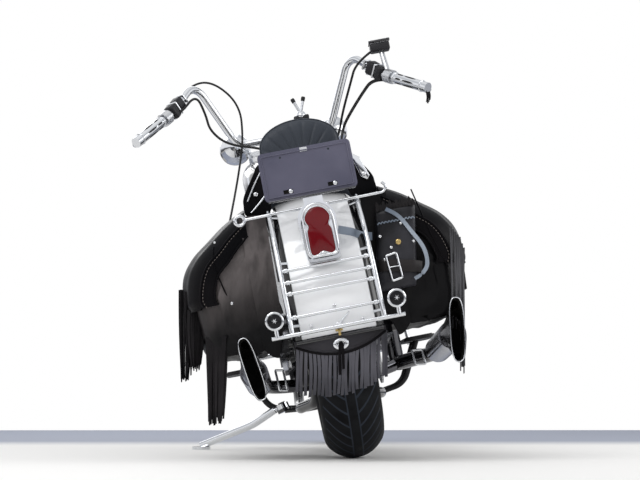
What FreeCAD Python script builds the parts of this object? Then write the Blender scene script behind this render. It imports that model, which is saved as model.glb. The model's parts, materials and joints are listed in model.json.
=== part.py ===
import FreeCAD, Part
import math
import os

# Chopper motorcycle, in millimetres, parked leaning left on its side stand.
# It is drawn upright: X to the right, Y forward from the rear axle, Z up from the floor.
# The last section leans the whole machine over its tyres until both of them and the stand meet the floor.

# Stance
LEAN = math.radians(11.0)
WHEELBASE = 1690.0
RAKE = math.radians(32.0)
TRAIL = 145.0

# Tyres and wheels
REAR_TYRE_RADIUS = 323.0
REAR_TYRE_WIDTH = 156.0
REAR_CROWN_RADIUS = 84.0
REAR_BEAD_RADIUS = 206.0
REAR_BEAD_WIDTH = 102.0
FRONT_TYRE_RADIUS = 345.0
FRONT_TYRE_WIDTH = 84.0
FRONT_CROWN_RADIUS = 45.0
FRONT_BEAD_RADIUS = 270.0
FRONT_BEAD_WIDTH = 56.0
RIM_FLANGE = 11.0
RIM_WALL = 5.0
RIM_WELL = 16.0
SPOKE_COUNT = 40
SPOKE_RADIUS = 2.2
FRONT_HUB_HALF = 44.0
FRONT_HUB_FLANGE = 40.0
REAR_HUB_HALF = 62.0
REAR_HUB_FLANGE = 46.0
AXLE_RADIUS = 10.0
RUNNING_CLEARANCE = 0.06
SEAT_GAP = 0.3
BOX_TOLERANCE = 0.5

# Brakes and belt
DISC_RADIUS = 146.0
DISC_THICKNESS = 5.0
DISC_GAP = 5.5
FRONT_DISC_X = 61.0
REAR_DISC_X = 99.0
BELT_X = -100.0
BELT_WIDTH = 24.0
BELT_THICKNESS = 5.0
BELT_GAP = 0.5
REAR_PULLEY_RADIUS = 112.0
FRONT_PULLEY_RADIUS = 52.0
FRONT_PULLEY_Y = 520.0
FRONT_PULLEY_Z = 335.0

# Frame
TUBE_RADIUS = 16.0
BACKBONE_RADIUS = 27.0
RAIL_X = 120.0
RAIL_Z = 152.0
UPRIGHT_X = 70.0
UPRIGHT_BEND = ((95.0, 462.0, 636.0), (UPRIGHT_X, 430.0, 470.0))
SEAT_RAIL_X = 101.0
SEAT_RAIL_RADIUS = 12.0
CROSS_TUBE_RADIUS = 14.0
CROSS_TUBE_YS = (960.0, 850.0, 720.0, 540.0)
PIVOT_Y = 440.0
PIVOT_Z = 300.0
PIVOT_RADIUS = 15.0
ARM_X = 136.0
ARM_WIDTH = 26.0
NECK_LOW = 985.0
NECK_HIGH = 1135.0
NECK_RADIUS = 29.0
STEM_RADIUS = 15.0

# Fork and bars
FORK_HALF_WIDTH = 100.0
STANCHION_RADIUS = 20.5
SLIDER_RADIUS = 28.0
FORK_COVER_RADIUS = 30.0
SLIDER_LENGTH = 440.0
TREE_THICKNESS = 26.0
TREE_CLEARANCE = 6.0
TREE_FRONT = 30.0
RISER_X = 36.0
BAR_RADIUS = 12.7
BAR_LOW_HALF = 158.0
BAR_LOW_Y = 1165.0
BAR_LOW_Z = 1052.0
BAR_TOP_HALF = 262.0
BAR_TOP_Y = 1085.0
BAR_TOP_Z = 1272.0
GRIP_START = (352.0, 975.0, 1164.0)
BAR_END = (466.0, 858.0, 1076.0)
BAR_BEND = 48.0
GRIP_RADIUS = 17.0
HEADLAMP_RADIUS = 90.0
PASSING_LAMP_HALF = 170.0
PASSING_LAMP_RADIUS = 54.0

# Engine
CRANK_Y = 800.0
CRANK_Z = 330.0
CASE_RADIUS = 128.0
CASE_HALF_WIDTH = 88.0
CYLINDER_ANGLE = math.radians(22.5)
BARREL_START = 126.0
BARREL_LENGTH = 150.0
DECK_RADIUS = 44.0
HEAD_LENGTH = 84.0
ROCKER_HEIGHT = 62.0
PORT_LENGTH = 92.0
PRIMARY_FACE = 146.0
PUSHROD_X = 74.0
PUSHROD_RADIUS = 7.0
FIN_WIDTH = 124.0
FIN_THICKNESS = 3.0
FIN_PITCH = 12.5
FIN_CORE = 92.0

# Bodywork
FENDER_RADIUS = 375.0
FENDER_HALF_WIDTH = 113.0
FENDER_CROWN_HALF = 91.0
FENDER_WALL = 3.0
FENDER_SKIRT = 78.0
FENDER_TAIL_ANGLE = 181.5
FENDER_NOSE_ANGLE = 42.0
STRUT_THICKNESS = 8.0
GUARD_HALF_WIDTH = 112.0
GUARD_TUBE = 6.0
GUARD_ROD = 4.2
GUARD_LIFT = 13.0
GUARD_HIGH = 648.0
GUARD_LOW = 323.0
GUARD_BAR_HEIGHTS = (484.0, 454.0, 426.0, 368.0, 327.0)
PAD_HALF_WIDTH = 101.0
PAD_LOW = 748.0
PAD_TOP = 880.0
PAD_THICKNESS = 52.0
PAD_Y = -100.0
PLATE_WIDTH = 230.0
PLATE_LOW = 657.0
PLATE_HEIGHT = 121.0
PLATE_THICKNESS = 2.0
PLATE_Y = -338.0
PLATE_CORNER = 12.0
LAMP_LOW = 493.0
LAMP_TOP = 641.0
LAMP_WIDTH = 94.0
LAMP_FACE_Y = -350.0
SIGNAL_HALF = 148.0
SIGNAL_Z = 367.0
SIGNAL_RADIUS = 22.5

# Cables
CABLE_RADIUS = 3.5
THROTTLE_RADIUS = 3.0
HOSE_RADIUS = 4.0
CABLE_BEND = 60.0

# Luggage
BAG_INNER = 172.0
BAG_REAR_Y = -200.0
BAG_LENGTH = 400.0
BAG_TOP = 684.0
BAG_SEAM = 446.0
BAG_LOW = 308.0
BAG_LID_X = 371.0
BAG_BODY_X = 352.0
BAG_SECTIONS = ((0.0, 50.0), (0.12, 18.0), (0.38, 0.0), (0.75, 6.0), (1.0, 42.0))
BAG_POSTS = ((150.0, 664.0), (-150.0, 604.0))

# Footboards
BOARD_INNER = 228.0
BOARD_OUTER = 326.0
BOARD_Z = 288.0
BOARD_THICKNESS = 10.0
BOARD_FRONT = 985.0
BOARD_REAR = 700.0
PEDAL_PIVOT_RADIUS = 9.0

# Exhaust
LEFT_MUFFLER_X = -223.0
RIGHT_MUFFLER_X = 287.0
MUFFLER_Z_FRONT = 238.0
MUFFLER_Z_REAR = 262.0
MUFFLER_RADIUS = 36.0
MUFFLER_FRONT_Y = 330.0
FISHTAIL_START_Y = -160.0
FISHTAIL_END_Y = -300.0
FISHTAIL_HEIGHT = 160.0
FISHTAIL_WIDTH = 38.0
FISHTAIL_SPLAY = 8.0
PIPE_RADIUS = 22.0
HEADER_X = 196.0
EXHAUST_WALL = 2.5

# Side stand
STAND_PIVOT = (-172.0, 700.0, 168.0)
STAND_FOOT_X = -452.0
STAND_FOOT_Y = 800.0
STAND_LEG_RADIUS = 11.0
STAND_PIN_RADIUS = 7.0


def vec(x, y, z):
    return FreeCAD.Vector(x, y, z)


def mirrored(point):
    return vec(-point.x, point.y, point.z)


def both_sides(shape):
    other = shape.mirror(vec(0, 0, 0), vec(1, 0, 0))
    return Part.makeCompound([shape, other])


def fused(first, *others):
    return first.multiFuse(list(others)).removeSplitter()


def rod(start, end, radius):
    span = end - start
    return Part.makeCylinder(radius, span.Length, start, span)


def block(x0, x1, y0, y1, z0, z1):
    return Part.makeBox(x1 - x0, y1 - y0, z1 - z0, vec(x0, y0, z0))


def bent_path(points, bend):
    """Straight runs joined by tangent arcs, each arc no larger than its two runs allow."""
    edges = []
    at = points[0]
    for before, corner, after in zip(points, points[1:], points[2:]):
        way_in = (corner - before).normalize()
        way_out = (after - corner).normalize()
        turn = way_in.getAngle(way_out)
        shorter = min((corner - before).Length, (after - corner).Length)
        radius = min(bend, 0.45 * shorter / math.tan(turn / 2))
        reach = radius * math.tan(turn / 2)
        start = corner - way_in * reach
        end = corner + way_out * reach
        bisector = (way_out - way_in).normalize()
        middle = corner + bisector * (radius / math.cos(turn / 2) - radius)
        edges.append(Part.LineSegment(at, start).toShape())
        edges.append(Part.Arc(start, middle, end).toShape())
        at = end
    edges.append(Part.LineSegment(at, points[-1]).toShape())
    return Part.Wire(edges)


def tube(points, radius, bend):
    path = bent_path(points, bend)
    disc = Part.Face(Part.Wire(Part.makeCircle(radius, points[0], points[1] - points[0])))
    return path.makePipe(disc)


def polygon_face(points):
    return Part.Face(Part.makePolygon(points + points[:1]))


def side_plate(outline, x, thickness):
    """A flat plate whose outline is given as (y, z) pairs, from x to x plus thickness."""
    face = polygon_face([vec(x, y, z) for y, z in outline])
    return face.extrude(vec(thickness, 0, 0))


def ring_of(edges):
    return Part.Face(Part.Wire(edges))


def line(a, b):
    return Part.LineSegment(a, b).toShape()


def arc(a, b, c):
    return Part.Arc(a, b, c).toShape()


def lathe(outline, centre):
    """Turns an outline of (x, radius) pairs about the cross axis through centre."""
    face = polygon_face([vec(x, 0, r) for x, r in outline])
    solid = face.revolve(vec(0, 0, 0), vec(1, 0, 0), 360)
    return solid.translated(centre)


def oval(centre, across, up, half_across, half_up, squareness, count=14):
    """A closed smooth section round centre; squareness 1 is an ellipse, higher is boxier."""
    points = []
    for step in range(count):
        angle = 2 * math.pi * step / count
        c, s = math.cos(angle), math.sin(angle)
        x = math.copysign(abs(c) ** (1 / squareness), c) * half_across
        z = math.copysign(abs(s) ** (1 / squareness), s) * half_up
        points.append(centre + across * x + up * z)
    curve = Part.BSplineCurve()
    curve.interpolate(Points=points, PeriodicFlag=True)
    return Part.Wire(curve.toShape())


SIDE = vec(1, 0, 0)
AHEAD = vec(0, 1, 0)
UP = vec(0, 0, 1)


def loft_along(sections, squareness):
    """Closed solid through oval sections given as (centre, half width, half height)."""
    wires = [oval(centre, SIDE, UP, wide, high, squareness) for centre, wide, high in sections]
    return Part.makeLoft(wires, True)


# Steering head: distances run up the steering axis from where it meets the floor.

HEAD_UP = vec(0, -math.sin(RAKE), math.cos(RAKE))
HEAD_AHEAD = vec(0, math.cos(RAKE), math.sin(RAKE))
HEAD_FOOT = vec(0, WHEELBASE + TRAIL, 0)
FORK_OFFSET = FRONT_TYRE_RADIUS * math.sin(RAKE) - TRAIL * math.cos(RAKE)
AXLE_ALONG = FRONT_TYRE_RADIUS * math.cos(RAKE) + TRAIL * math.sin(RAKE)
LOWER_TREE = NECK_LOW - TREE_CLEARANCE - TREE_THICKNESS / 2
UPPER_TREE = NECK_HIGH + TREE_CLEARANCE + TREE_THICKNESS / 2
FORK_TOP = UPPER_TREE + TREE_THICKNESS / 2 + 10
REAR_AXLE = vec(0, 0, REAR_TYRE_RADIUS)
FRONT_AXLE = vec(0, WHEELBASE, FRONT_TYRE_RADIUS)


def on_head(along, side=0.0, ahead=0.0):
    return HEAD_FOOT + HEAD_UP * along + HEAD_AHEAD * ahead + SIDE * side


# Wheels

def tyre(radius, width, crown, bead_radius, bead_width, centre):
    half = width / 2
    bead = bead_width / 2
    crown_half = crown * math.sin(math.radians(48))
    crown_low = radius - crown + crown * math.cos(math.radians(48))
    shoulder = vec(crown_half, 0, crown_low)
    widest = vec(half, 0, (crown_low + bead_radius + RIM_FLANGE) / 2)
    lip = vec(bead, 0, bead_radius + RIM_FLANGE)
    foot = vec(bead, 0, bead_radius)
    edges = [
        arc(mirrored(shoulder), vec(0, 0, radius), shoulder),
        arc(shoulder, widest, lip),
        line(lip, foot),
        line(foot, mirrored(foot)),
        line(mirrored(foot), mirrored(lip)),
        arc(mirrored(lip), mirrored(widest), mirrored(shoulder)),
    ]
    solid = ring_of(edges).revolve(vec(0, 0, 0), SIDE, 360)
    return solid.translated(centre)


def spokes(centre, hub_radius, hub_half, rim_radius, rim_half):
    """Laced spokes: each one leans forward or back round the wheel and towards one flange."""
    cross = math.radians(36)
    result = []
    for index in range(SPOKE_COUNT):
        side = 1 if index % 2 else -1
        lean = cross if (index // 2) % 2 else -cross
        rim_angle = 2 * math.pi * (index + 0.5) / SPOKE_COUNT
        hub_angle = rim_angle + lean
        inner = vec(side * hub_half, hub_radius * math.cos(hub_angle), hub_radius * math.sin(hub_angle))
        outer = vec(side * rim_half, rim_radius * math.cos(rim_angle), rim_radius * math.sin(rim_angle))
        corners = []
        span = outer - inner
        across = span.cross(SIDE).normalize()
        other = span.cross(across).normalize()
        for corner in range(5):
            turn = 2 * math.pi * corner / 5
            offset = across * math.cos(turn) + other * math.sin(turn)
            corners.append(inner + offset * SPOKE_RADIUS)
        result.append(polygon_face(corners).extrude(span).translated(centre))
    return result


def wire_wheel(centre, bead_radius, bead_width, hub_half, flange_radius):
    """Rim, hub and spokes as one solid; the hub is bored to run on its axle."""
    bead = bead_width / 2
    seat = bead_radius - SEAT_GAP
    lip = bead + SEAT_GAP
    flange_top = bead_radius + RIM_FLANGE - 1
    well = seat - RIM_WELL
    rim = lathe(
        [
            (-lip - 4, flange_top), (-lip, flange_top), (-lip, seat), (-bead * 0.55, seat),
            (-bead * 0.4, well), (bead * 0.4, well), (bead * 0.55, seat), (lip, seat),
            (lip, flange_top), (lip + 4, flange_top), (lip + 4, seat - RIM_WALL),
            (bead * 0.62, seat - RIM_WALL), (bead * 0.45, well - RIM_WALL),
            (-bead * 0.45, well - RIM_WALL), (-bead * 0.62, seat - RIM_WALL), (-lip - 4, seat - RIM_WALL),
        ],
        centre,
    )
    bore = AXLE_RADIUS + RUNNING_CLEARANCE
    waist = 24.0
    hub = lathe(
        [
            (-hub_half, bore), (-hub_half, waist),
            (-hub_half + 6, flange_radius), (-hub_half + 14, flange_radius),
            (-hub_half + 22, waist), (hub_half - 22, waist), (hub_half - 14, flange_radius),
            (hub_half - 6, flange_radius), (hub_half, waist), (hub_half, bore),
        ],
        centre,
    )
    laced = spokes(centre, flange_radius - 5, hub_half - 10, well - RIM_WALL / 2, bead * 0.25)
    return rim.multiFuse([hub] + laced)


def front_wheel():
    """Wire wheel with its brake disc bolted to the hub's right end."""
    wheel = wire_wheel(FRONT_AXLE, FRONT_BEAD_RADIUS, FRONT_BEAD_WIDTH, FRONT_HUB_HALF, FRONT_HUB_FLANGE)
    return wheel.fuse(brake_disc(FRONT_AXLE, FRONT_DISC_X, FRONT_HUB_HALF))


def rear_wheel():
    """Wire wheel with its brake disc on the right of the hub and its belt pulley on the left."""
    wheel = wire_wheel(REAR_AXLE, REAR_BEAD_RADIUS, REAR_BEAD_WIDTH, REAR_HUB_HALF, REAR_HUB_FLANGE)
    return wheel.multiFuse([brake_disc(REAR_AXLE, REAR_DISC_X, REAR_HUB_HALF), rear_pulley()])


def front_tyre():
    return tyre(
        FRONT_TYRE_RADIUS, FRONT_TYRE_WIDTH, FRONT_CROWN_RADIUS,
        FRONT_BEAD_RADIUS, FRONT_BEAD_WIDTH, FRONT_AXLE,
    )


def rear_tyre():
    return tyre(
        REAR_TYRE_RADIUS, REAR_TYRE_WIDTH, REAR_CROWN_RADIUS,
        REAR_BEAD_RADIUS, REAR_BEAD_WIDTH, REAR_AXLE,
    )


def brake_disc(centre, x, hub_face):
    """A disc with a ring of round holes, on a stepped carrier that reaches in to the hub."""
    half = DISC_THICKNESS / 2
    hub_x = hub_face - 4
    bore = AXLE_RADIUS + RUNNING_CLEARANCE
    disc = lathe(
        [
            (hub_x, bore), (hub_x, 20), (x - half, 20), (x - half, DISC_RADIUS),
            (x + half, DISC_RADIUS), (x + half, bore),
        ],
        centre,
    )
    holes = []
    for index in range(12):
        angle = 2 * math.pi * index / 12
        at = centre + vec(x - DISC_THICKNESS, 88 * math.cos(angle), 88 * math.sin(angle))
        holes.append(Part.makeCylinder(15, 3 * DISC_THICKNESS, at, SIDE))
    return disc.cut(Part.makeCompound(holes))


def rear_pulley():
    """Belt pulley on the left of the rear hub, dished and pierced by round windows."""
    left = BELT_X - BELT_WIDTH / 2
    right = BELT_X + BELT_WIDTH / 2
    bore = AXLE_RADIUS + RUNNING_CLEARANCE
    hub_x = -REAR_HUB_HALF + 4
    pulley = lathe(
        [
            (hub_x, bore), (hub_x, 30), (BELT_X + 4, 34), (BELT_X + 4, REAR_PULLEY_RADIUS - 12),
            (right, REAR_PULLEY_RADIUS - 12), (right, REAR_PULLEY_RADIUS), (left, REAR_PULLEY_RADIUS),
            (left, REAR_PULLEY_RADIUS - 12), (BELT_X - 4, REAR_PULLEY_RADIUS - 12), (BELT_X - 4, bore),
        ],
        REAR_AXLE,
    )
    holes = []
    for index in range(6):
        angle = 2 * math.pi * index / 6
        at = REAR_AXLE + vec(left, 66 * math.cos(angle), 66 * math.sin(angle))
        holes.append(Part.makeCylinder(20, BELT_WIDTH, at, SIDE))
    return pulley.cut(Part.makeCompound(holes))


def drive_belt():
    """Flat belt round both pulleys; its inside clears them by the belt gap."""
    outer = belt_loop(BELT_THICKNESS + BELT_GAP)
    inner = belt_loop(BELT_GAP)
    return outer.cut(inner)


def belt_loop(growth):
    rear_radius = REAR_PULLEY_RADIUS + growth
    front_radius = FRONT_PULLEY_RADIUS + growth
    gap_y = FRONT_PULLEY_Y
    gap_z = FRONT_PULLEY_Z - REAR_AXLE.z
    span = math.hypot(gap_y, gap_z)
    slope = math.atan2(gap_z, gap_y)
    tilt = math.acos((rear_radius - front_radius) / span)
    x = BELT_X - BELT_WIDTH / 2

    def at(centre_y, centre_z, radius, angle):
        return vec(x, centre_y + radius * math.cos(angle), centre_z + radius * math.sin(angle))

    top, low = slope + tilt, slope - tilt
    rear = (0.0, REAR_AXLE.z, rear_radius)
    front = (FRONT_PULLEY_Y, FRONT_PULLEY_Z, front_radius)
    edges = [
        line(at(*rear, top), at(*front, top)),
        arc(at(*front, top), at(*front, slope), at(*front, low)),
        line(at(*front, low), at(*rear, low)),
        arc(at(*rear, low), at(*rear, slope + math.pi), at(*rear, top)),
    ]
    return ring_of(edges).extrude(vec(BELT_WIDTH, 0, 0))


def front_axle():
    half = FORK_HALF_WIDTH + SLIDER_RADIUS
    axle = Part.makeCylinder(AXLE_RADIUS, 2 * half + 12, FRONT_AXLE - SIDE * (half + 6), SIDE)
    nut = Part.makeCylinder(16, 10, FRONT_AXLE + SIDE * (half + 1), SIDE)
    return fused(axle, nut)


def rear_axle():
    half = ARM_X + ARM_WIDTH / 2
    axle = Part.makeCylinder(AXLE_RADIUS, 2 * half + 20, REAR_AXLE - SIDE * (half + 10), SIDE)
    left_nut = Part.makeCylinder(18, 10, REAR_AXLE - SIDE * (half + 11), SIDE)
    right_nut = Part.makeCylinder(18, 10, REAR_AXLE + SIDE * (half + 1), SIDE)
    return fused(axle, left_nut, right_nut)


# Frame and swingarm

def frame_tubes():
    """Neck, backbone, twin cradle tubes, seat uprights and cross tubes, welded into one."""
    neck = rod(on_head(NECK_LOW), on_head(NECK_HIGH), NECK_RADIUS)
    parts = [backbone(BACKBONE_RADIUS)]
    high, low = UPRIGHT_BEND
    for side in (1, -1):
        cradle = tube(
            [
                on_head(1030, side * 14, -20), vec(side * 105, 1085, 330),
                vec(side * RAIL_X, 1010, RAIL_Z), vec(side * RAIL_X, 530, RAIL_Z),
                vec(side * UPRIGHT_X, 430, RAIL_Z + 10), vec(side * UPRIGHT_X, 418, RAIL_Z + 70),
            ],
            TUBE_RADIUS, 90,
        )
        upright = tube(
            [
                vec(side * 12, 600, 768),
                vec(side * high[0], high[1], high[2]), vec(side * low[0], low[1], low[2]),
                vec(side * UPRIGHT_X, 418, RAIL_Z + 40),
            ],
            TUBE_RADIUS, 90,
        )
        rail = tube(
            [vec(side * 92, 466, 628), vec(side * SEAT_RAIL_X, 340, 642), vec(side * SEAT_RAIL_X, 215, 652)],
            SEAT_RAIL_RADIUS, 200,
        )
        lug_inner, lug_outer = UPRIGHT_X - 14, UPRIGHT_X + 16
        lug = rod(vec(side * lug_inner, PIVOT_Y, PIVOT_Z), vec(side * lug_outer, PIVOT_Y, PIVOT_Z), 22)
        parts += [cradle, upright, rail, lug]
    for y in CROSS_TUBE_YS:
        parts.append(rod(vec(-RAIL_X, y, RAIL_Z), vec(RAIL_X, y, RAIL_Z), CROSS_TUBE_RADIUS))
    stem_bore = rod(on_head(NECK_LOW - 5), on_head(NECK_HIGH + 5), STEM_RADIUS + RUNNING_CLEARANCE)
    reach = UPRIGHT_X + 40
    bore_radius = PIVOT_RADIUS + RUNNING_CLEARANCE
    pivot_bore = rod(vec(-reach, PIVOT_Y, PIVOT_Z), vec(reach, PIVOT_Y, PIVOT_Z), bore_radius)
    return neck.multiFuse(parts + stand_bracket()).cut(Part.makeCompound([stem_bore, pivot_bore]))


def backbone(radius):
    """Single top tube from the neck to the seat, kinked where it clears the rear rocker cover."""
    return tube([on_head(1075), vec(0, 1000, 852), vec(0, 680, 792), vec(0, 590, 774)], radius, 200)


def stand_bracket():
    """Arm from the left rail to the lug that the stand's eye lies on, with the pin and its head."""
    pivot = vec(*STAND_PIVOT)
    axis = stand_axis()
    lug = Part.makeCylinder(22, 10, pivot - axis * 18, axis)
    pin = Part.makeCylinder(STAND_PIN_RADIUS, 28, pivot - axis * 16, axis)
    head = Part.makeCylinder(STAND_PIN_RADIUS + 4, 4, pivot + axis * 8, axis)
    arm = rod(pivot - axis * 16, vec(-RAIL_X, pivot.y, RAIL_Z - 4), 7)
    return [lug, pin, head, arm]


def swingarm():
    """Two flat-sided arms, their pivot tube and the cross-piece behind it, with axle plates at the rear."""
    parts = []
    for side in (1, -1):
        x = side * ARM_X - ARM_WIDTH / 2
        arm = side_plate(
            [
                (-44, REAR_AXLE.z - 22), (-44, REAR_AXLE.z + 22), (30, REAR_AXLE.z + 27),
                (PIVOT_Y + 10, PIVOT_Z + 30), (PIVOT_Y + 34, PIVOT_Z + 8), (PIVOT_Y + 34, PIVOT_Z - 18),
                (PIVOT_Y, PIVOT_Z - 34), (30, REAR_AXLE.z - 27),
            ],
            x, ARM_WIDTH,
        )
        parts.append(arm)
    inner = ARM_X - ARM_WIDTH / 2
    pivot = rod(vec(-inner - 5, PIVOT_Y, PIVOT_Z), vec(inner + 5, PIVOT_Y, PIVOT_Z), PIVOT_RADIUS)
    brace = rod(vec(-inner - 5, PIVOT_Y - 62, PIVOT_Z), vec(inner + 5, PIVOT_Y - 62, PIVOT_Z), 18)
    return parts[0].multiFuse([parts[1], pivot, brace, rear_axle()])


# Engine

def cylinder_direction(front):
    side = 1 if front else -1
    return vec(0, side * math.sin(CYLINDER_ANGLE), math.cos(CYLINDER_ANGLE))


def fin_plate(base, up, width, depth, corner):
    """One cooling fin: a square plate with cut corners, square to the cylinder."""
    ahead = SIDE.cross(up)
    half, deep = width / 2, depth / 2
    outline = [
        (half - corner, deep), (-half + corner, deep), (-half, deep - corner), (-half, -deep + corner),
        (-half + corner, -deep), (half - corner, -deep), (half, -deep + corner), (half, deep - corner),
    ]
    corners = [base + SIDE * a + ahead * b for a, b in outline]
    return polygon_face(corners).extrude(up * FIN_THICKNESS)


def finned_cylinder(front):
    """Barrel and head of one cylinder, with their fins and a thicker gasket plate between."""
    up = cylinder_direction(front)
    base = vec(0, CRANK_Y, CRANK_Z) + up * BARREL_START
    core = Part.makeCylinder(FIN_CORE / 2, BARREL_LENGTH + HEAD_LENGTH, base, up)
    fins = []
    count = int((BARREL_LENGTH + HEAD_LENGTH) / FIN_PITCH)
    for index in range(count):
        height = FIN_PITCH * (index + 0.6)
        on_head_part = height > BARREL_LENGTH
        width = FIN_WIDTH + 8 if on_head_part else FIN_WIDTH
        room = 2 * ((BARREL_START + height) * math.tan(CYLINDER_ANGLE) - 3)
        fins.append(fin_plate(base + up * height, up, width, min(width - 6, room), 26))
    port_foot = base + up * (BARREL_LENGTH + 36)
    port = Part.makeCylinder(PIPE_RADIUS + 2, PORT_LENGTH, port_foot, exhaust_direction(front))
    return core.multiFuse(fins + [port])


def cylinder_room(front):
    """The room that a finned cylinder takes up, with the seat gap round it."""
    up = cylinder_direction(front)
    ahead = SIDE.cross(up)
    half = FIN_WIDTH / 2 + 4 + SEAT_GAP
    foot = vec(0, CRANK_Y, CRANK_Z) + up * (BARREL_START + BARREL_LENGTH - 20)
    corners = []
    for a, b in ((-half, -half), (half, -half), (half, half), (-half, half)):
        corners.append(foot + SIDE * a + ahead * b)
    return polygon_face(corners).extrude(up * (HEAD_LENGTH + 20))


def exhaust_direction(front):
    return vec(0.45, 0.88, -0.1).normalize() if front else vec(0.7, -0.71, -0.1).normalize()


def exhaust_port(front):
    up = cylinder_direction(front)
    base = vec(0, CRANK_Y, CRANK_Z) + up * BARREL_START
    return base + up * (BARREL_LENGTH + 36) + exhaust_direction(front) * (PORT_LENGTH + SEAT_GAP)


def cylinders():
    return Part.makeCompound([finned_cylinder(True), finned_cylinder(False)])


def rocker_box(front):
    """Stepped cover on a head: a wide lower tray and a narrower domed cover."""
    up = cylinder_direction(front)
    ahead = SIDE.cross(up)
    foot = vec(0, CRANK_Y, CRANK_Z) + up * (BARREL_START + BARREL_LENGTH + HEAD_LENGTH + SEAT_GAP)

    def slab(start, height, half_wide, half_deep, corner):
        outline = [
            (half_wide - corner, half_deep), (-half_wide + corner, half_deep),
            (-half_wide, half_deep - corner),
            (-half_wide, -half_deep + corner), (-half_wide + corner, -half_deep),
            (half_wide - corner, -half_deep), (half_wide, -half_deep + corner),
            (half_wide, half_deep - corner),
        ]
        corners = [foot + up * start + SIDE * a + ahead * b for a, b in outline]
        return polygon_face(corners).extrude(up * height)

    tray = slab(0, 20, 68, 56, 16)
    middle = slab(20, 22, 64, 50, 18)
    cap = slab(42, ROCKER_HEIGHT - 42, 56, 40, 18)
    return fused(tray, middle, cap)


def rocker_boxes():
    """The covers of both heads, each with the two slim tubes that run down to the case."""
    return Part.makeCompound([rocker_box(front).multiFuse(pushrod_tubes(front)) for front in (True, False)])


def crankcase():
    """Round flywheel case with a sump below and two cylinder decks above."""
    half = CASE_HALF_WIDTH
    start = vec(-half, CRANK_Y, CRANK_Z)
    drum = Part.makeCylinder(CASE_RADIUS - 6, 2 * half, start, SIDE)
    floor = RAIL_Z + CROSS_TUBE_RADIUS + SEAT_GAP
    sump = block(-half + 10, half - 10, CRANK_Y - 118, CRANK_Y + 100, floor, CRANK_Z)
    decks = []
    for front in (True, False):
        up = cylinder_direction(front)
        base = vec(0, CRANK_Y, CRANK_Z) + up * 60
        decks.append(Part.makeCylinder(DECK_RADIUS, BARREL_START - 60 - SEAT_GAP, base, up))
    return drum.multiFuse([sump, cam_cover()] + decks)


def cam_cover():
    """Pear-shaped cover on the right of the case, with the round ignition cover on it."""
    x = CASE_HALF_WIDTH - 2
    outline = [
        (CRANK_Y - 112, CRANK_Z - 20), (CRANK_Y - 96, CRANK_Z - 74), (CRANK_Y - 30, CRANK_Z - 100),
        (CRANK_Y + 60, CRANK_Z - 92), (CRANK_Y + 112, CRANK_Z - 40), (CRANK_Y + 116, CRANK_Z + 30),
        (CRANK_Y + 84, CRANK_Z + 84), (CRANK_Y, CRANK_Z + 104), (CRANK_Y - 84, CRANK_Z + 80),
    ]
    body = side_plate(outline, x, 28)
    cone = Part.makeCone(54, 46, 14, vec(x + 28, CRANK_Y + 30, CRANK_Z - 10), SIDE)
    return fused(body, cone)


def pushrod_tubes(front):
    """Two slim tubes on the right of a cylinder, from the case up into its rocker cover."""
    up = cylinder_direction(front)
    ahead = SIDE.cross(up)
    foot = vec(PUSHROD_X, CRANK_Y, CRANK_Z) + up * (BARREL_START + 6)
    length = BARREL_LENGTH + HEAD_LENGTH + 4
    tubes = []
    for spread in (-1, 1):
        low = foot + ahead * (spread * 13)
        high = foot + up * length + ahead * (spread * 24)
        way = (high - low).normalize()
        tubes.append(rod(low, high, PUSHROD_RADIUS))
        tubes.append(rod(low, low + way * 30, PUSHROD_RADIUS + 3.5))
    return tubes


def air_cleaner():
    """Manifold and carburettor between the cylinders, and the round air cleaner outside them."""
    centre_z = CRANK_Z + 318
    manifold = Part.makeCylinder(22, 92, vec(20, CRANK_Y, centre_z), SIDE)
    branch = rod(vec(42, CRANK_Y - 100, centre_z), vec(42, CRANK_Y + 100, centre_z), 16)
    branch = branch.cut(Part.makeCompound([cylinder_room(True), cylinder_room(False)]))
    carburettor = block(70, 116, CRANK_Y - 24, CRANK_Y + 24, centre_z - 30, centre_z + 30)
    centre = vec(112, CRANK_Y, centre_z)
    back = Part.makeCylinder(88, 12, centre, SIDE)
    drum = Part.makeCylinder(82, 34, centre + SIDE * 12, SIDE)
    cover = Part.makeCone(88, 70, 22, centre + SIDE * 46, SIDE)
    return manifold.multiFuse([carburettor, back, drum, cover, branch])


def transmission():
    body = block(-78, 84, 465, 662, 262, 430)
    end_cover = Part.makeCylinder(74, 26, vec(84, 545, 345), SIDE)
    pulley = Part.makeCylinder(
        FRONT_PULLEY_RADIUS, BELT_WIDTH, vec(BELT_X - BELT_WIDTH / 2, FRONT_PULLEY_Y, FRONT_PULLEY_Z), SIDE
    )
    shaft = Part.makeCylinder(18, 40, vec(BELT_X, FRONT_PULLEY_Y, FRONT_PULLEY_Z), SIDE)
    boss = Part.makeCylinder(24, 20, vec(-CASE_HALF_WIDTH, 634, 345), SIDE)
    return body.makeFillet(14, body.Edges).multiFuse([end_cover, pulley, shaft, boss])


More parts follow.
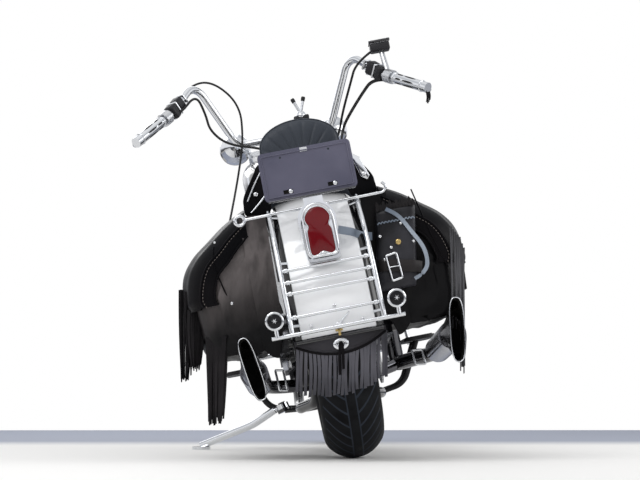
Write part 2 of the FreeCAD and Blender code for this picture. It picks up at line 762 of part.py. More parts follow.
def primary_cover():
    """Long chain cover on the left: one round end over the crank, one over the clutch."""
    x = -CASE_HALF_WIDTH - SEAT_GAP
    step = 12.0
    depth = x + PRIMARY_FACE - step
    rear_y, rear_z, rear_radius = 577.0, 335.0, 98.0
    front_radius = 84.0
    back = primary_loop(x - depth, rear_y, rear_z, rear_radius, front_radius, depth)
    face = primary_loop(-PRIMARY_FACE, rear_y, rear_z, rear_radius - 16, front_radius - 16, step)
    derby = Part.makeCylinder(56, 8, vec(-PRIMARY_FACE - 8, rear_y, rear_z), SIDE)
    deep = BELT_X - BELT_WIDTH / 2 - 2
    room = FRONT_PULLEY_RADIUS + BELT_THICKNESS + 6
    pulley_room = Part.makeCylinder(room, 60, vec(deep, FRONT_PULLEY_Y, FRONT_PULLEY_Z), SIDE)
    belt_way = block(deep, deep + 60, 430, FRONT_PULLEY_Y, FRONT_PULLEY_Z - 90, FRONT_PULLEY_Z + 90)
    return fused(back, face, derby).cut(pulley_room.fuse(belt_way))


def primary_loop(x, rear_y, rear_z, rear_radius, front_radius, thickness):
    span_y = CRANK_Y - rear_y
    span_z = CRANK_Z - rear_z
    span = math.hypot(span_y, span_z)
    slope = math.atan2(span_z, span_y)
    tilt = math.acos((rear_radius - front_radius) / span)

    def at(centre_y, centre_z, radius, angle):
        return vec(x, centre_y + radius * math.cos(angle), centre_z + radius * math.sin(angle))

    top, low = slope + tilt, slope - tilt
    rear = (rear_y, rear_z, rear_radius)
    front = (CRANK_Y, CRANK_Z, front_radius)
    edges = [
        line(at(*rear, top), at(*front, top)),
        arc(at(*front, top), at(*front, slope), at(*front, low)),
        line(at(*front, low), at(*rear, low)),
        arc(at(*rear, low), at(*rear, slope + math.pi), at(*rear, top)),
    ]
    return ring_of(edges).extrude(vec(thickness, 0, 0))


def oil_tank():
    """Tank between the seat uprights, on a lug at each side that meets its upright."""
    body = block(-98, 98, 484, 560, 462, 620)
    lugs = []
    for side in (1, -1):
        high, low = UPRIGHT_BEND
        top, foot = vec(side * high[0], high[1], high[2]), vec(side * low[0], low[1], low[2])
        upright = rod(top, foot, TUBE_RADIUS + SEAT_GAP)
        lugs.append(rod(vec(side * 60, 500, 560), vec(side * 83.5, 447, 560), 8).cut(upright))
    return body.makeFillet(26, body.Edges).multiFuse(lugs)


# Exhaust

def muffler_axis(x, y):
    share = (MUFFLER_FRONT_Y - y) / (MUFFLER_FRONT_Y - FISHTAIL_START_Y)
    return vec(x, y, MUFFLER_Z_FRONT + (MUFFLER_Z_REAR - MUFFLER_Z_FRONT) * share)


def fishtail(x, inset):
    """Round at the muffler, flat and tall at the open end, turned so that its top leans out."""
    side = 1 if x > 0 else -1
    end = muffler_axis(x, FISHTAIL_END_Y)
    middle = muffler_axis(x, (FISHTAIL_START_Y + FISHTAIL_END_Y) / 2)
    start = muffler_axis(x, FISHTAIL_START_Y)
    radius = MUFFLER_RADIUS - 3 - inset
    sections = [
        oval(start, SIDE, UP, radius, radius, 1.0),
        oval(middle, SIDE, UP, 26 - inset, 52 - inset, 1.15),
        oval(end, SIDE, UP, FISHTAIL_WIDTH / 2 - inset, FISHTAIL_HEIGHT / 2 - inset, 1.5),
    ]
    solid = Part.makeLoft(sections, True)
    solid.rotate(muffler_axis(x, FISHTAIL_START_Y), AHEAD, side * FISHTAIL_SPLAY)
    return solid


def muffler(x):
    """Straight silencer with the open fishtail on its end, both hollow."""
    front = muffler_axis(x, MUFFLER_FRONT_Y)
    rear = muffler_axis(x, FISHTAIL_START_Y)
    step = (rear - front).normalize() * 34
    nose = Part.makeCone(PIPE_RADIUS + 4, MUFFLER_RADIUS, 34, front, rear - front)
    body = rod(front + step, rear, MUFFLER_RADIUS)
    shell = fused(nose, body, fishtail(x, 0))
    return shell.cut(fishtail(x, EXHAUST_WALL))


def exhaust_right():
    """Both header pipes sweep down the right side into one silencer."""
    front_port = exhaust_port(True)
    rear_port = exhaust_port(False)
    header = tube(
        [
            front_port, front_port + exhaust_direction(True) * 52, vec(176, 1092, 540),
            vec(HEADER_X, 1062, 340), vec(HEADER_X, 970, 234), vec(HEADER_X, 640, 228),
            vec(RIGHT_MUFFLER_X, 430, 234),
            muffler_axis(RIGHT_MUFFLER_X, MUFFLER_FRONT_Y),
        ],
        PIPE_RADIUS, 90,
    )
    rear_header = tube(
        [
            rear_port, rear_port + exhaust_direction(False) * 36, vec(172, 588, 560),
            vec(192, 640, 420), vec(HEADER_X, 712, 234),
        ],
        PIPE_RADIUS, 80,
    )
    return header.multiFuse([rear_header, muffler(RIGHT_MUFFLER_X)])


def exhaust_left():
    """Crossover under the gearbox and the left silencer."""
    crossover = tube(
        [
            vec(HEADER_X - PIPE_RADIUS - SEAT_GAP, 600, 224), vec(120, 565, 214), vec(-60, 480, 212),
            vec(-185, 440, 224), muffler_axis(LEFT_MUFFLER_X, MUFFLER_FRONT_Y),
        ],
        PIPE_RADIUS - 3, 90,
    )
    return fused(crossover, muffler(LEFT_MUFFLER_X))


# Tank and seats

def tank_half(side):
    sections = [
        (vec(side * 60, 1150, 905), 34, 34),
        (vec(side * 82, 1100, 902), 54, 58),
        (vec(side * 92, 980, 884), 72, 78),
        (vec(side * 90, 840, 862), 70, 74),
        (vec(side * 80, 720, 842), 54, 54),
        (vec(side * 66, 655, 832), 32, 30),
    ]
    body = loft_along(sections, 1.25)
    keep = block(2, 400, 500, 1300, 600, 1100) if side > 0 else block(-400, -2, 500, 1300, 600, 1100)
    return body.common(keep).cut(backbone(BACKBONE_RADIUS + 3))


def fuel_tank():
    return Part.makeCompound([tank_half(1), tank_half(-1)])


def tank_fittings():
    """Long slim instrument panel on top of the tank halves with its round dial, and the filler caps."""
    sections = [
        (vec(0, 1090, 975), 34, 10),
        (vec(0, 990, 975), 52, 17),
        (vec(0, 860, 952), 42, 13),
        (vec(0, 730, 912), 20, 8),
    ]
    body = loft_along(sections, 1.2)
    dial = Part.makeCylinder(46, 16, vec(0, 1005, 984), vec(0, -0.25, 1))
    panel = fused(body, dial).cut(fuel_tank())
    panel.translate(UP * SEAT_GAP)
    caps = [panel]
    for side in (1, -1):
        base = vec(side * 96, 935, 954)
        cap = Part.makeCylinder(29, 15, base, vec(side * 0.16, -0.12, 1)).cut(fuel_tank())
        caps.append(cap.translated(UP * SEAT_GAP))
    return Part.makeCompound(caps)


def rider_seat():
    sections = [
        (vec(0, 612, 826), 46, 15),
        (vec(0, 565, 813), 74, 20),
        (vec(0, 480, 752), 130, 30),
        (vec(0, 375, 713), 156, 38),
        (vec(0, 285, 716), 150, 42),
        (vec(0, 236, 738), 128, 42),
    ]
    return loft_along(sections, 1.5)


def pillion_seat():
    sections = [
        (vec(0, 230, 752), 96, 30),
        (vec(0, 150, 748), 122, 42),
        (vec(0, 20, 742), 130, 43.5),
        (vec(0, -66, 736), 118, 28),
    ]
    return loft_along(sections, 1.6)


def backrest_pad():
    """Half-round pad: flat foot, straight sides and a domed top."""
    half = PAD_HALF_WIDTH
    shoulder = 815.0
    y = PAD_Y - PAD_THICKNESS / 2
    edges = [
        line(vec(-half + 14, y, PAD_LOW), vec(half - 14, y, PAD_LOW)),
        line(vec(half - 14, y, PAD_LOW), vec(half, y, shoulder)),
        arc(vec(half, y, shoulder), vec(0, y, PAD_TOP), vec(-half, y, shoulder)),
        line(vec(-half, y, shoulder), vec(-half + 14, y, PAD_LOW)),
    ]
    body = ring_of(edges).extrude(vec(0, PAD_THICKNESS, 0))
    return body.makeFillet(14, body.Edges)


def sissy_bar():
    """Bent bar behind the pad, with a shaped side plate on each leg that docks to the strut."""
    bar_radius = 8.0
    x = FENDER_HALF_WIDTH + STRUT_THICKNESS + 2 * SEAT_GAP + bar_radius
    back = PAD_Y - PAD_THICKNESS / 2 - bar_radius - SEAT_GAP
    hoop = tube(
        [
            vec(-x, -60, 640), vec(-x, back, 745), vec(-62, back, 852),
            vec(62, back, 852), vec(x, back, 745), vec(x, -60, 640),
        ],
        bar_radius, 50,
    )
    plates = []
    for side in (1, -1):
        outline = [(-96, 700), (-70, 640), (60, 640), (78, 660), (40, 712), (-40, 742), (-96, 762)]
        at = x + 14 if side > 0 else -x - 14 - 5
        plates.append(side_plate(outline, at, 5))
        plates.append(rod(vec(side * x, -72, 662), vec(side * (x + 22), -72, 662), 9))
        plates.append(rod(vec(side * x, -102, 708), vec(side * (x + 22), -102, 708), 9))
    return hoop.multiFuse(plates)


# Rear fender and what it carries

def fender_section(radius, half_width, crown_half, skirt, wall):
    """Cross-section in the (x, radius) plane: cambered crown, round shoulders, straight skirts."""
    def outline(inset):
        crown = crown_half - inset
        half = half_width - inset
        top = radius - inset
        return [
            vec(half, 0, radius - skirt), vec(half, 0, top - 48), vec(half - 6, 0, top - 26),
            vec(crown, 0, top - 13), vec(0, 0, top),
        ]

    def half_edges(points, flip):
        low, shoulder, bulge, crown, top = [mirrored(p) if flip else p for p in points]
        return low, shoulder, bulge, crown, top

    low, shoulder, bulge, crown, top = half_edges(outline(0), False)
    low2, shoulder2, bulge2, crown2, _ = half_edges(outline(0), True)
    in_low, in_shoulder, in_bulge, in_crown, in_top = half_edges(outline(wall), False)
    in_low2, in_shoulder2, in_bulge2, in_crown2, _ = half_edges(outline(wall), True)
    edges = [
        line(low, shoulder), arc(shoulder, bulge, crown), arc(crown, top, crown2),
        arc(crown2, bulge2, shoulder2), line(shoulder2, low2), line(low2, in_low2),
        line(in_low2, in_shoulder2), arc(in_shoulder2, in_bulge2, in_crown2),
        arc(in_crown2, in_top, in_crown), arc(in_crown, in_bulge, in_shoulder),
        line(in_shoulder, in_low), line(in_low, low),
    ]
    return ring_of(edges)


def swept_fender(section, centre, start_angle, end_angle):
    """Turns the section about the wheel's axle; 0 degrees is straight ahead and 90 is up."""
    section.rotate(vec(0, 0, 0), SIDE, start_angle - 90)
    solid = section.revolve(vec(0, 0, 0), SIDE, end_angle - start_angle)
    return solid.translated(centre)


def rear_fender():
    section = fender_section(
        FENDER_RADIUS, FENDER_HALF_WIDTH, FENDER_CROWN_HALF, FENDER_SKIRT, FENDER_WALL
    )
    return swept_fender(section, REAR_AXLE, FENDER_NOSE_ANGLE, FENDER_TAIL_ANGLE)


def fender_struts():
    """Flat chrome struts along the fender's sides, from the frame rails back past the axle."""
    outline = [
        (300, 640), (300, 672), (180, 690), (-60, 668), (-190, 600), (-262, 500),
        (-262, 470), (-240, 470), (-170, 566), (-40, 632), (180, 652),
    ]
    x = FENDER_HALF_WIDTH + SEAT_GAP
    plate = side_plate(outline, x, STRUT_THICKNESS)
    posts = []
    for y, z in BAG_POSTS:
        start = vec(x + STRUT_THICKNESS / 2, y, z)
        posts.append(Part.makeCylinder(9, BAG_INNER - SEAT_GAP - start.x, start, SIDE))
    return both_sides(plate.multiFuse(posts))


def around_axle(radius, height, x=0.0):
    """A point behind the axle at this radius from it and this height above the floor."""
    rise = height - REAR_AXLE.z
    return vec(x, -math.sqrt(radius * radius - rise * rise), height)


def fender_guard():
    """Rails down both edges of the fender on short feet, joined by five straight round rods."""
    radius = FENDER_RADIUS + GUARD_LIFT
    parts = []
    feet = []
    for side in (1, -1):
        x = side * GUARD_HALF_WIDTH
        low = around_axle(radius, GUARD_LOW, x)
        reach = math.asin((GUARD_HIGH - REAR_AXLE.z) / radius) - math.asin((GUARD_LOW - REAR_AXLE.z) / radius)
        ring = Part.Face(Part.Wire(Part.makeCircle(GUARD_TUBE, low, UP)))
        parts.append(ring.revolve(REAR_AXLE, SIDE, -math.degrees(reach)))
        for height in (632.0, 505.0, 348.0):
            outer = around_axle(radius, height, x)
            inner = around_axle(FENDER_RADIUS - 24, height, side * 86)
            feet.append(rod(outer, inner, 4))
    for height in GUARD_BAR_HEIGHTS:
        left = around_axle(radius, height, -GUARD_HALF_WIDTH)
        right = around_axle(radius, height, GUARD_HALF_WIDTH)
        parts.append(rod(left, right, GUARD_ROD))
    core = fender_section(
        FENDER_RADIUS + SEAT_GAP, FENDER_HALF_WIDTH + SEAT_GAP, FENDER_CROWN_HALF + SEAT_GAP, FENDER_SKIRT, 26
    )
    fender_room = swept_fender(core, REAR_AXLE, FENDER_NOSE_ANGLE, FENDER_TAIL_ANGLE)
    seated = [foot.cut(fender_room) for foot in feet]
    return parts[0].multiFuse(parts[1:] + bag_rod() + seated)


def bag_rod():
    """Long rod across the fender that carries the bags, with an eye on the left and a hook on the right."""
    centre = around_axle(FENDER_RADIUS + GUARD_LIFT + GUARD_TUBE + 3.5, 640.0)
    left = centre + vec(-172, 0, -2)
    right = centre + vec(166, 0, 2)
    bar = rod(left, right, 4)
    eye = Part.makeTorus(12, 4.5, left - SIDE * 14, AHEAD)
    hook_line = [right - SIDE * 3, right + SIDE * 14, right + vec(24, 0, 14), right + vec(14, 0, 26)]
    hook = tube(hook_line, 3.5, 14)
    return [bar, eye, hook]


def plate_outline(width, height, corner, y, z):
    half = width / 2
    k = corner * (1 - math.sqrt(0.5))
    low, high = z, z + height
    edges = [
        line(vec(-half + corner, y, low), vec(half - corner, y, low)),
        arc(vec(half - corner, y, low), vec(half - k, y, low + k), vec(half, y, low + corner)),
        line(vec(half, y, low + corner), vec(half, y, high - corner)),
        arc(vec(half, y, high - corner), vec(half - k, y, high - k), vec(half - corner, y, high)),
        line(vec(half - corner, y, high), vec(-half + corner, y, high)),
        arc(vec(-half + corner, y, high), vec(-half + k, y, high - k), vec(-half, y, high - corner)),
        line(vec(-half, y, high - corner), vec(-half, y, low + corner)),
        arc(vec(-half, y, low + corner), vec(-half + k, y, low + k), vec(-half + corner, y, low)),
    ]
    return ring_of(edges)


def number_plate():
    """Blank plate with rounded corners, two round holes high up and two slots low down."""
    face = plate_outline(PLATE_WIDTH, PLATE_HEIGHT, PLATE_CORNER, PLATE_Y, PLATE_LOW)
    plate = face.extrude(vec(0, PLATE_THICKNESS, 0))
    cuts = []
    for side in (1, -1):
        cuts.append(Part.makeCylinder(3, 12, vec(side * 60, PLATE_Y - 4, PLATE_LOW + 104), AHEAD))
        slot_left, slot_right = side * 55 - 12, side * 55 + 12
        slot_low, slot_top = PLATE_LOW + 13, PLATE_LOW + 23
        cuts.append(block(slot_left, slot_right, PLATE_Y - 4, PLATE_Y + 8, slot_low, slot_top))
    return plate.cut(Part.makeCompound(cuts))


def plate_bracket():
    """Upright strap from the lamp's housing to the plate, a backing bar and a stay to the guard's rod."""
    y = PLATE_Y + PLATE_THICKNESS + SEAT_GAP
    strap = block(-24, 24, y, y + 4, LAMP_TOP - 34, PLATE_LOW + 112)
    bar = block(-96, 96, y, y + 4, PLATE_LOW + 6, PLATE_LOW + 30)
    rod_centre = around_axle(FENDER_RADIUS + GUARD_LIFT + GUARD_TUBE + 3.5, 640.0)
    stay = block(-14, 14, y, rod_centre.y - 4.3, 646, 652)
    return [strap, bar, stay]


def lamp_face(width, low, high, y):
    """Tombstone outline: straight sides, square foot with small corners and a half-round head."""
    half = width / 2
    spring = high - half
    corner = 10.0
    k = corner * (1 - math.sqrt(0.5))
    edges = [
        line(vec(-half * 0.86 + corner, y, low), vec(half * 0.86 - corner, y, low)),
        arc(
            vec(half * 0.86 - corner, y, low), vec(half * 0.86 - k, y, low + k),
            vec(half * 0.86, y, low + corner),
        ),
        line(vec(half * 0.86, y, low + corner), vec(half, y, spring)),
        arc(vec(half, y, spring), vec(0, y, high), vec(-half, y, spring)),
        line(vec(-half, y, spring), vec(-half * 0.86, y, low + corner)),
        arc(
            vec(-half * 0.86, y, low + corner), vec(-half * 0.86 + k, y, low + k),
            vec(-half * 0.86 + corner, y, low),
        ),
    ]
    return ring_of(edges)


def tail_lamp():
    """Chrome housing: its front follows the fender, its rear face is upright."""
    face = lamp_face(LAMP_WIDTH, LAMP_LOW, LAMP_TOP, LAMP_FACE_Y)
    body = face.extrude(vec(0, 175, 0))
    hollow = lamp_face(LAMP_WIDTH - 22, LAMP_LOW + 12, LAMP_TOP - 11, LAMP_FACE_Y).extrude(vec(0, 8, 0))
    wheel_side = Part.makeCylinder(FENDER_RADIUS + SEAT_GAP, 400, REAR_AXLE - SIDE * 200, SIDE)
    y = LAMP_FACE_Y + 26
    above = [(y, LAMP_TOP + 1), (y + 130, LAMP_TOP - 54), (y + 200, LAMP_TOP + 60), (y, LAMP_TOP + 60)]
    slope = side_plate(above, -60, 120)
    return body.cut(Part.makeCompound([wheel_side])).cut(slope).cut(hollow).multiFuse(plate_bracket())


def tail_lens():
    """Red lens: it fills the housing's recess and stands proud of it with a stepped face."""
    y = LAMP_FACE_Y + 8 - SEAT_GAP
    inner = lamp_face(LAMP_WIDTH - 23, LAMP_LOW + 12.5, LAMP_TOP - 11.5, y).extrude(vec(0, -16, 0))
    step = lamp_face(LAMP_WIDTH - 34, LAMP_LOW + 20, LAMP_TOP - 18, y - 16).extrude(vec(0, -7, 0))
    return fused(inner, step)


def signal_bar():
    """Thin bar across the fender's tail with a short post up to each turn signal."""
    y = around_axle(FENDER_RADIUS + GUARD_LIFT + GUARD_TUBE + 5.3, 327.0).y
    bar = rod(vec(-162, y, 327), vec(162, y, 327), 5)
    posts = []
    for side in (1, -1):
        post_x = side * SIGNAL_HALF
        posts.append(rod(vec(post_x, y, 327), vec(post_x, y, SIGNAL_Z - SIGNAL_RADIUS + 1), 5))
    return bar.multiFuse(posts)


def rear_signals():
    """Bullet lamps on their bar: a domed bowl towards the front and a rimmed round lens to the rear."""
    y = around_axle(FENDER_RADIUS + GUARD_LIFT + GUARD_TUBE + 5.3, 327.0).y
    lamps = []
    for side in (1, -1):
        at = vec(side * SIGNAL_HALF, y - 16, SIGNAL_Z)
        outline = [
            vec(0, 0, 0), vec(0, 0, SIGNAL_RADIUS - 4), vec(0, 3, SIGNAL_RADIUS),
            vec(0, 9, SIGNAL_RADIUS), vec(0, 26, SIGNAL_RADIUS - 5), vec(0, 38, 10), vec(0, 42, 0),
        ]
        lamp = polygon_face(outline).revolve(vec(0, 0, 0), AHEAD, 360)
        lamps.append(lamp.translated(at))
    return signal_bar().multiFuse(lamps)


def mudflap():
    """Half-moon leather flap with its fringe, hung from the fender's lower edge."""
    y = -FENDER_RADIUS + 0.5
    drop = FENDER_RADIUS * math.sin(math.radians(FENDER_TAIL_ANGLE - 180))
    top, centre_low = REAR_AXLE.z - drop - SEAT_GAP, 262.0
    half = 112.0
    edges = [
        line(vec(-half, y, top), vec(half, y, top)),
        line(vec(half, y, top), vec(half, y, top - 14)),
        arc(vec(half, y, top - 14), vec(0, y, centre_low), vec(-half, y, top - 14)),
        line(vec(-half, y, top - 14), vec(-half, y, top)),
    ]
    leather = ring_of(edges).extrude(vec(0, 4, 0))
    fringe_y = y + 1
    outline = [
        vec(-110, fringe_y, 295), vec(110, fringe_y, 295), vec(104, fringe_y, 186),
        vec(30, fringe_y, 164), vec(-106, fringe_y, 180),
    ]
    fringe = polygon_face(outline).extrude(vec(0, 3.0, 0))
    return leather.fuse(fringe)


# Luggage

def bag_outline(y, draw_in):
    """Section of a right-hand bag at y: a wide drooping lid over a slimmer body."""
    lid_x = BAG_LID_X - draw_in
    body_x = BAG_BODY_X - draw_in
    top = BAG_TOP - 0.9 * draw_in
    low = [
        line(vec(BAG_INNER, y, top), vec(BAG_INNER, y, BAG_LOW + 14)),
        arc(
            vec(BAG_INNER, y, BAG_LOW + 14), vec(BAG_INNER + 4, y, BAG_LOW + 4),
            vec(BAG_INNER + 14, y, BAG_LOW),
        ),
        line(vec(BAG_INNER + 14, y, BAG_LOW), vec(body_x - 64, y, BAG_LOW)),
        arc(
            vec(body_x - 64, y, BAG_LOW), vec(body_x - 21, y, BAG_LOW + 14),
            vec(body_x - 4, y, BAG_LOW + 56),
        ),
        line(vec(body_x - 4, y, BAG_LOW + 56), vec(body_x, y, BAG_SEAM)),
        line(vec(body_x, y, BAG_SEAM), vec(lid_x - 6, y, BAG_SEAM + 4)),
        arc(vec(lid_x - 6, y, BAG_SEAM + 4), vec(lid_x - 1, y, BAG_SEAM + 10), vec(lid_x, y, BAG_SEAM + 22)),
    ]
    lid = Part.BSplineCurve()
    lid.interpolate([
        vec(lid_x, y, BAG_SEAM + 22), vec(lid_x - 12, y, BAG_SEAM + 90 - 0.5 * draw_in),
        vec(lid_x - 43 + 0.2 * draw_in, y, BAG_SEAM + 136 - 0.7 * draw_in),
        vec(lid_x - 89 + 0.4 * draw_in, y, BAG_SEAM + 172 - 0.8 * draw_in),
        vec(lid_x - 139 + 0.7 * draw_in, y, BAG_SEAM + 208 - 0.9 * draw_in), vec(BAG_INNER, y, top),
    ])
    return Part.Wire(low + [lid.toShape()])


def bag_right_solid():
    """Skin over five sections, fullest a little behind the bag's middle."""
    wires = [bag_outline(BAG_REAR_Y + BAG_LENGTH * share, draw_in) for share, draw_in in BAG_SECTIONS]
    return Part.makeLoft(wires, True)


def saddlebag_right():
    return bag_right_solid()


def saddlebag_left():
    return bag_right_solid().mirror(vec(0, 0, 0), SIDE)


def tool_case():
    """Leather sheath strapped to the rear of the right-hand bag."""
    body = block(150, 236, BAG_REAR_Y - 48, BAG_REAR_Y - SEAT_GAP, 398, 612)
    return body.makeFillet(16, [e for e in body.Edges if abs(e.Vertexes[0].Z - e.Vertexes[1].Z) > 50])


# Controls low down

def footboards():
    boards = []
    for side in (1, -1):
        board = block(BOARD_INNER, BOARD_OUTER, BOARD_REAR, BOARD_FRONT, BOARD_Z, BOARD_Z + BOARD_THICKNESS)
        board = board.makeFillet(30, [e for e in board.Edges if abs(e.Vertexes[0].Z - e.Vertexes[1].Z) > 5])
        hangers = []
        for y in (890.0, 770.0):
            line = [vec(RAIL_X, y, RAIL_Z), vec(208, y, RAIL_Z + 14), vec(270, y, BOARD_Z + 2)]
            hangers.append(tube(line, 9, 60))
        rail = rod(vec(RAIL_X, 500, RAIL_Z), vec(RAIL_X, 1010, RAIL_Z), TUBE_RADIUS + SEAT_GAP)
        one = board.multiFuse(hangers).cut(rail)
        boards.append(one if side > 0 else one.mirror(vec(0, 0, 0), SIDE))
    return Part.makeCompound(boards)


def brake_pedal():
    """Brake pedal on the right: its pivot seats against the board's front edge, clear of the foot's room."""
    x = BOARD_INNER + 34
    pivot_y = BOARD_FRONT + SEAT_GAP + PEDAL_PIVOT_RADIUS
    pivot_z = BOARD_Z + BOARD_THICKNESS / 2
    pivot = rod(vec(x - 3, pivot_y, pivot_z), vec(x + 32, pivot_y, pivot_z), PEDAL_PIVOT_RADIUS)
    arm = tube([vec(x + 4, pivot_y, pivot_z), vec(x, pivot_y + 10, 346), vec(x - 8, 1050, 372)], 7, 16)
    pad = block(x - 38, x + 18, 1030, 1086, 370, 382)
    return arm.multiFuse([pad, pivot])


def shift_lever():
    """Heel and toe lever on the left, hung on a stub from the primary cover."""
    front = tube([vec(-212, 850, 330), vec(-212, 950, 352), vec(-214, 1040, 374)], 7, 60)
    rear = tube([vec(-212, 850, 330), vec(-212, 750, 352), vec(-214, 690, 372)], 7, 60)
    toe = rod(vec(-200, 1040, 374), vec(-246, 1040, 374), 10)
    heel = rod(vec(-200, 690, 372), vec(-246, 690, 372), 10)
    stub = rod(vec(-PRIMARY_FACE - SEAT_GAP, 850, 330), vec(-218, 850, 330), 9)
    return front.multiFuse([rear, toe, heel, stub])


def foot_controls():
    return Part.makeCompound([brake_pedal(), shift_lever()])


def caliper_block(centre, x, radius_at, angle):
    """Caliper body with a slot that leaves the disc its clearance on both faces."""
    out = vec(0, math.cos(angle), math.sin(angle))
    along = vec(0, -math.sin(angle), math.cos(angle))
    middle = centre + out * radius_at + SIDE * x
    corners = []
    for a, b in ((-44, -30), (44, -30), (50, 8), (38, 30), (-38, 30), (-50, 8)):
        corners.append(middle + along * a + out * b - SIDE * 27)
    body = polygon_face(corners).extrude(SIDE * 54)
    slot = Part.makeCylinder(
        DISC_RADIUS + DISC_GAP, DISC_THICKNESS + 2 * DISC_GAP,
        centre + SIDE * (x - DISC_THICKNESS / 2 - DISC_GAP), SIDE
    )
    return body.cut(slot)


def rear_caliper():
    """Caliper over the rear disc, on a bracket that lies along the right arm's inner face."""
    body = caliper_block(REAR_AXLE, REAR_DISC_X, DISC_RADIUS - 6, math.radians(52))
    face = ARM_X - ARM_WIDTH / 2 - SEAT_GAP
    outline = [(40, 326), (96, 326), (128, 420), (84, 446), (52, 420)]
    return body.fuse(side_plate(outline, face - 8, 8))


def front_caliper():
    """Caliper over the front disc, with a lug that meets the right slider."""
    body = caliper_block(FRONT_AXLE, FRONT_DISC_X, DISC_RADIUS - 6, math.radians(158))
    lug = rod(FRONT_AXLE + vec(85, -115, 55), FRONT_AXLE + vec(92, -40, 67), 10)
    slider = rod(
        on_head(AXLE_ALONG - 30, FORK_HALF_WIDTH, FORK_OFFSET),
        on_head(AXLE_ALONG + 300, FORK_HALF_WIDTH, FORK_OFFSET), SLIDER_RADIUS + SEAT_GAP,
    )
    return body.fuse(lug).cut(slider)


# Fork, bars and lamps

def fork_legs():
    """Slider, stanchion and upper cover of each leg, joined at the bottom by the axle."""
    legs = []
    for side in (1, -1):
        x = side * FORK_HALF_WIDTH
        slider = rod(
            on_head(AXLE_ALONG - 26, x, FORK_OFFSET),
            on_head(AXLE_ALONG + SLIDER_LENGTH, x, FORK_OFFSET), SLIDER_RADIUS,
        )
        cap = rod(
            on_head(AXLE_ALONG + SLIDER_LENGTH, x, FORK_OFFSET),
            on_head(AXLE_ALONG + SLIDER_LENGTH + 14, x, FORK_OFFSET), SLIDER_RADIUS - 3,
        )
        stanchion = rod(
            on_head(AXLE_ALONG + SLIDER_LENGTH, x, FORK_OFFSET),
            on_head(FORK_TOP, x, FORK_OFFSET), STANCHION_RADIUS,
        )
        cover = rod(
            on_head(LOWER_TREE + TREE_THICKNESS / 2 + SEAT_GAP, x, FORK_OFFSET),
            on_head(UPPER_TREE - TREE_THICKNESS / 2 - SEAT_GAP, x, FORK_OFFSET), FORK_COVER_RADIUS,
        )
        legs += [slider, cap, stanchion, cover]
    return legs[0].multiFuse(legs[1:] + [front_axle()])


def tree_plate(along):
    """Clamp plate: a rounded bar that swells round both legs and the steering stem."""
    base = along - TREE_THICKNESS / 2
    top = base + TREE_THICKNESS
    parts = [rod(on_head(base), on_head(top), 34)]
    for x in (FORK_HALF_WIDTH, -FORK_HALF_WIDTH):
        parts.append(rod(on_head(base, x, FORK_OFFSET), on_head(top, x, FORK_OFFSET), 30))
    outline = [
        on_head(base, -FORK_HALF_WIDTH, FORK_OFFSET + TREE_FRONT),
        on_head(base, FORK_HALF_WIDTH, FORK_OFFSET + TREE_FRONT),
        on_head(base, FORK_HALF_WIDTH + 8, FORK_OFFSET - 32), on_head(base, 26, -30),
        on_head(base, -26, -30), on_head(base, -FORK_HALF_WIDTH - 8, FORK_OFFSET - 32),
    ]
    web = polygon_face(outline).extrude(HEAD_UP * TREE_THICKNESS)
    return web.multiFuse(parts)


def fork_trees():
    """Both clamp plates, the stem that joins them and the two risers of the handlebar."""
    stem = rod(on_head(LOWER_TREE), on_head(UPPER_TREE), STEM_RADIUS)
    risers = []
    bar = vec(0, BAR_LOW_Y, BAR_LOW_Z)
    for side in (1, -1):
        foot = on_head(UPPER_TREE, side * RISER_X, -6)
        top = bar + SIDE * (side * RISER_X)
        risers.append(rod(foot, top, 13))
        risers.append(rod(top - SIDE * 13, top + SIDE * 13, 22))
    plates = [tree_plate(UPPER_TREE), stem] + risers
    solid = tree_plate(LOWER_TREE).multiFuse(plates)
    cuts = []
    for side in (1, -1):
        x = side * FORK_HALF_WIDTH
        low, high = on_head(LOWER_TREE - 60, x, FORK_OFFSET), on_head(FORK_TOP + 60, x, FORK_OFFSET)
        cuts.append(rod(low, high, STANCHION_RADIUS + RUNNING_CLEARANCE))
    cuts.append(rod(bar - SIDE * 90, bar + SIDE * 90, BAR_RADIUS + RUNNING_CLEARANCE))
    return solid.cut(Part.makeCompound(cuts))


def handlebar_points():
    right = [
        vec(BAR_LOW_HALF, BAR_LOW_Y, BAR_LOW_Z),
        vec(BAR_TOP_HALF, BAR_TOP_Y, BAR_TOP_Z),
        vec(*GRIP_START),
        vec(*BAR_END),
    ]
    return [mirrored(p) for p in reversed(right)] + right


def handlebar():
    return tube(handlebar_points(), BAR_RADIUS, BAR_BEND)


def grip_line(side):
    start, end = vec(*GRIP_START), vec(*BAR_END)
    if side < 0:
        start, end = mirrored(start), mirrored(end)
    return start, (end - start).normalize(), (end - start).Length


def grips():
    """Ribbed sleeves over the bar's ends with rounded end caps."""
    sleeves = []
    for side in (1, -1):
        start, way, length = grip_line(side)
        outer = rod(start + way * 48, start + way * (length + 10), GRIP_RADIUS)
        inner = rod(start, start + way * (length + SEAT_GAP), BAR_RADIUS + RUNNING_CLEARANCE)
        sleeves.append(outer.cut(inner))
    return Part.makeCompound(sleeves)


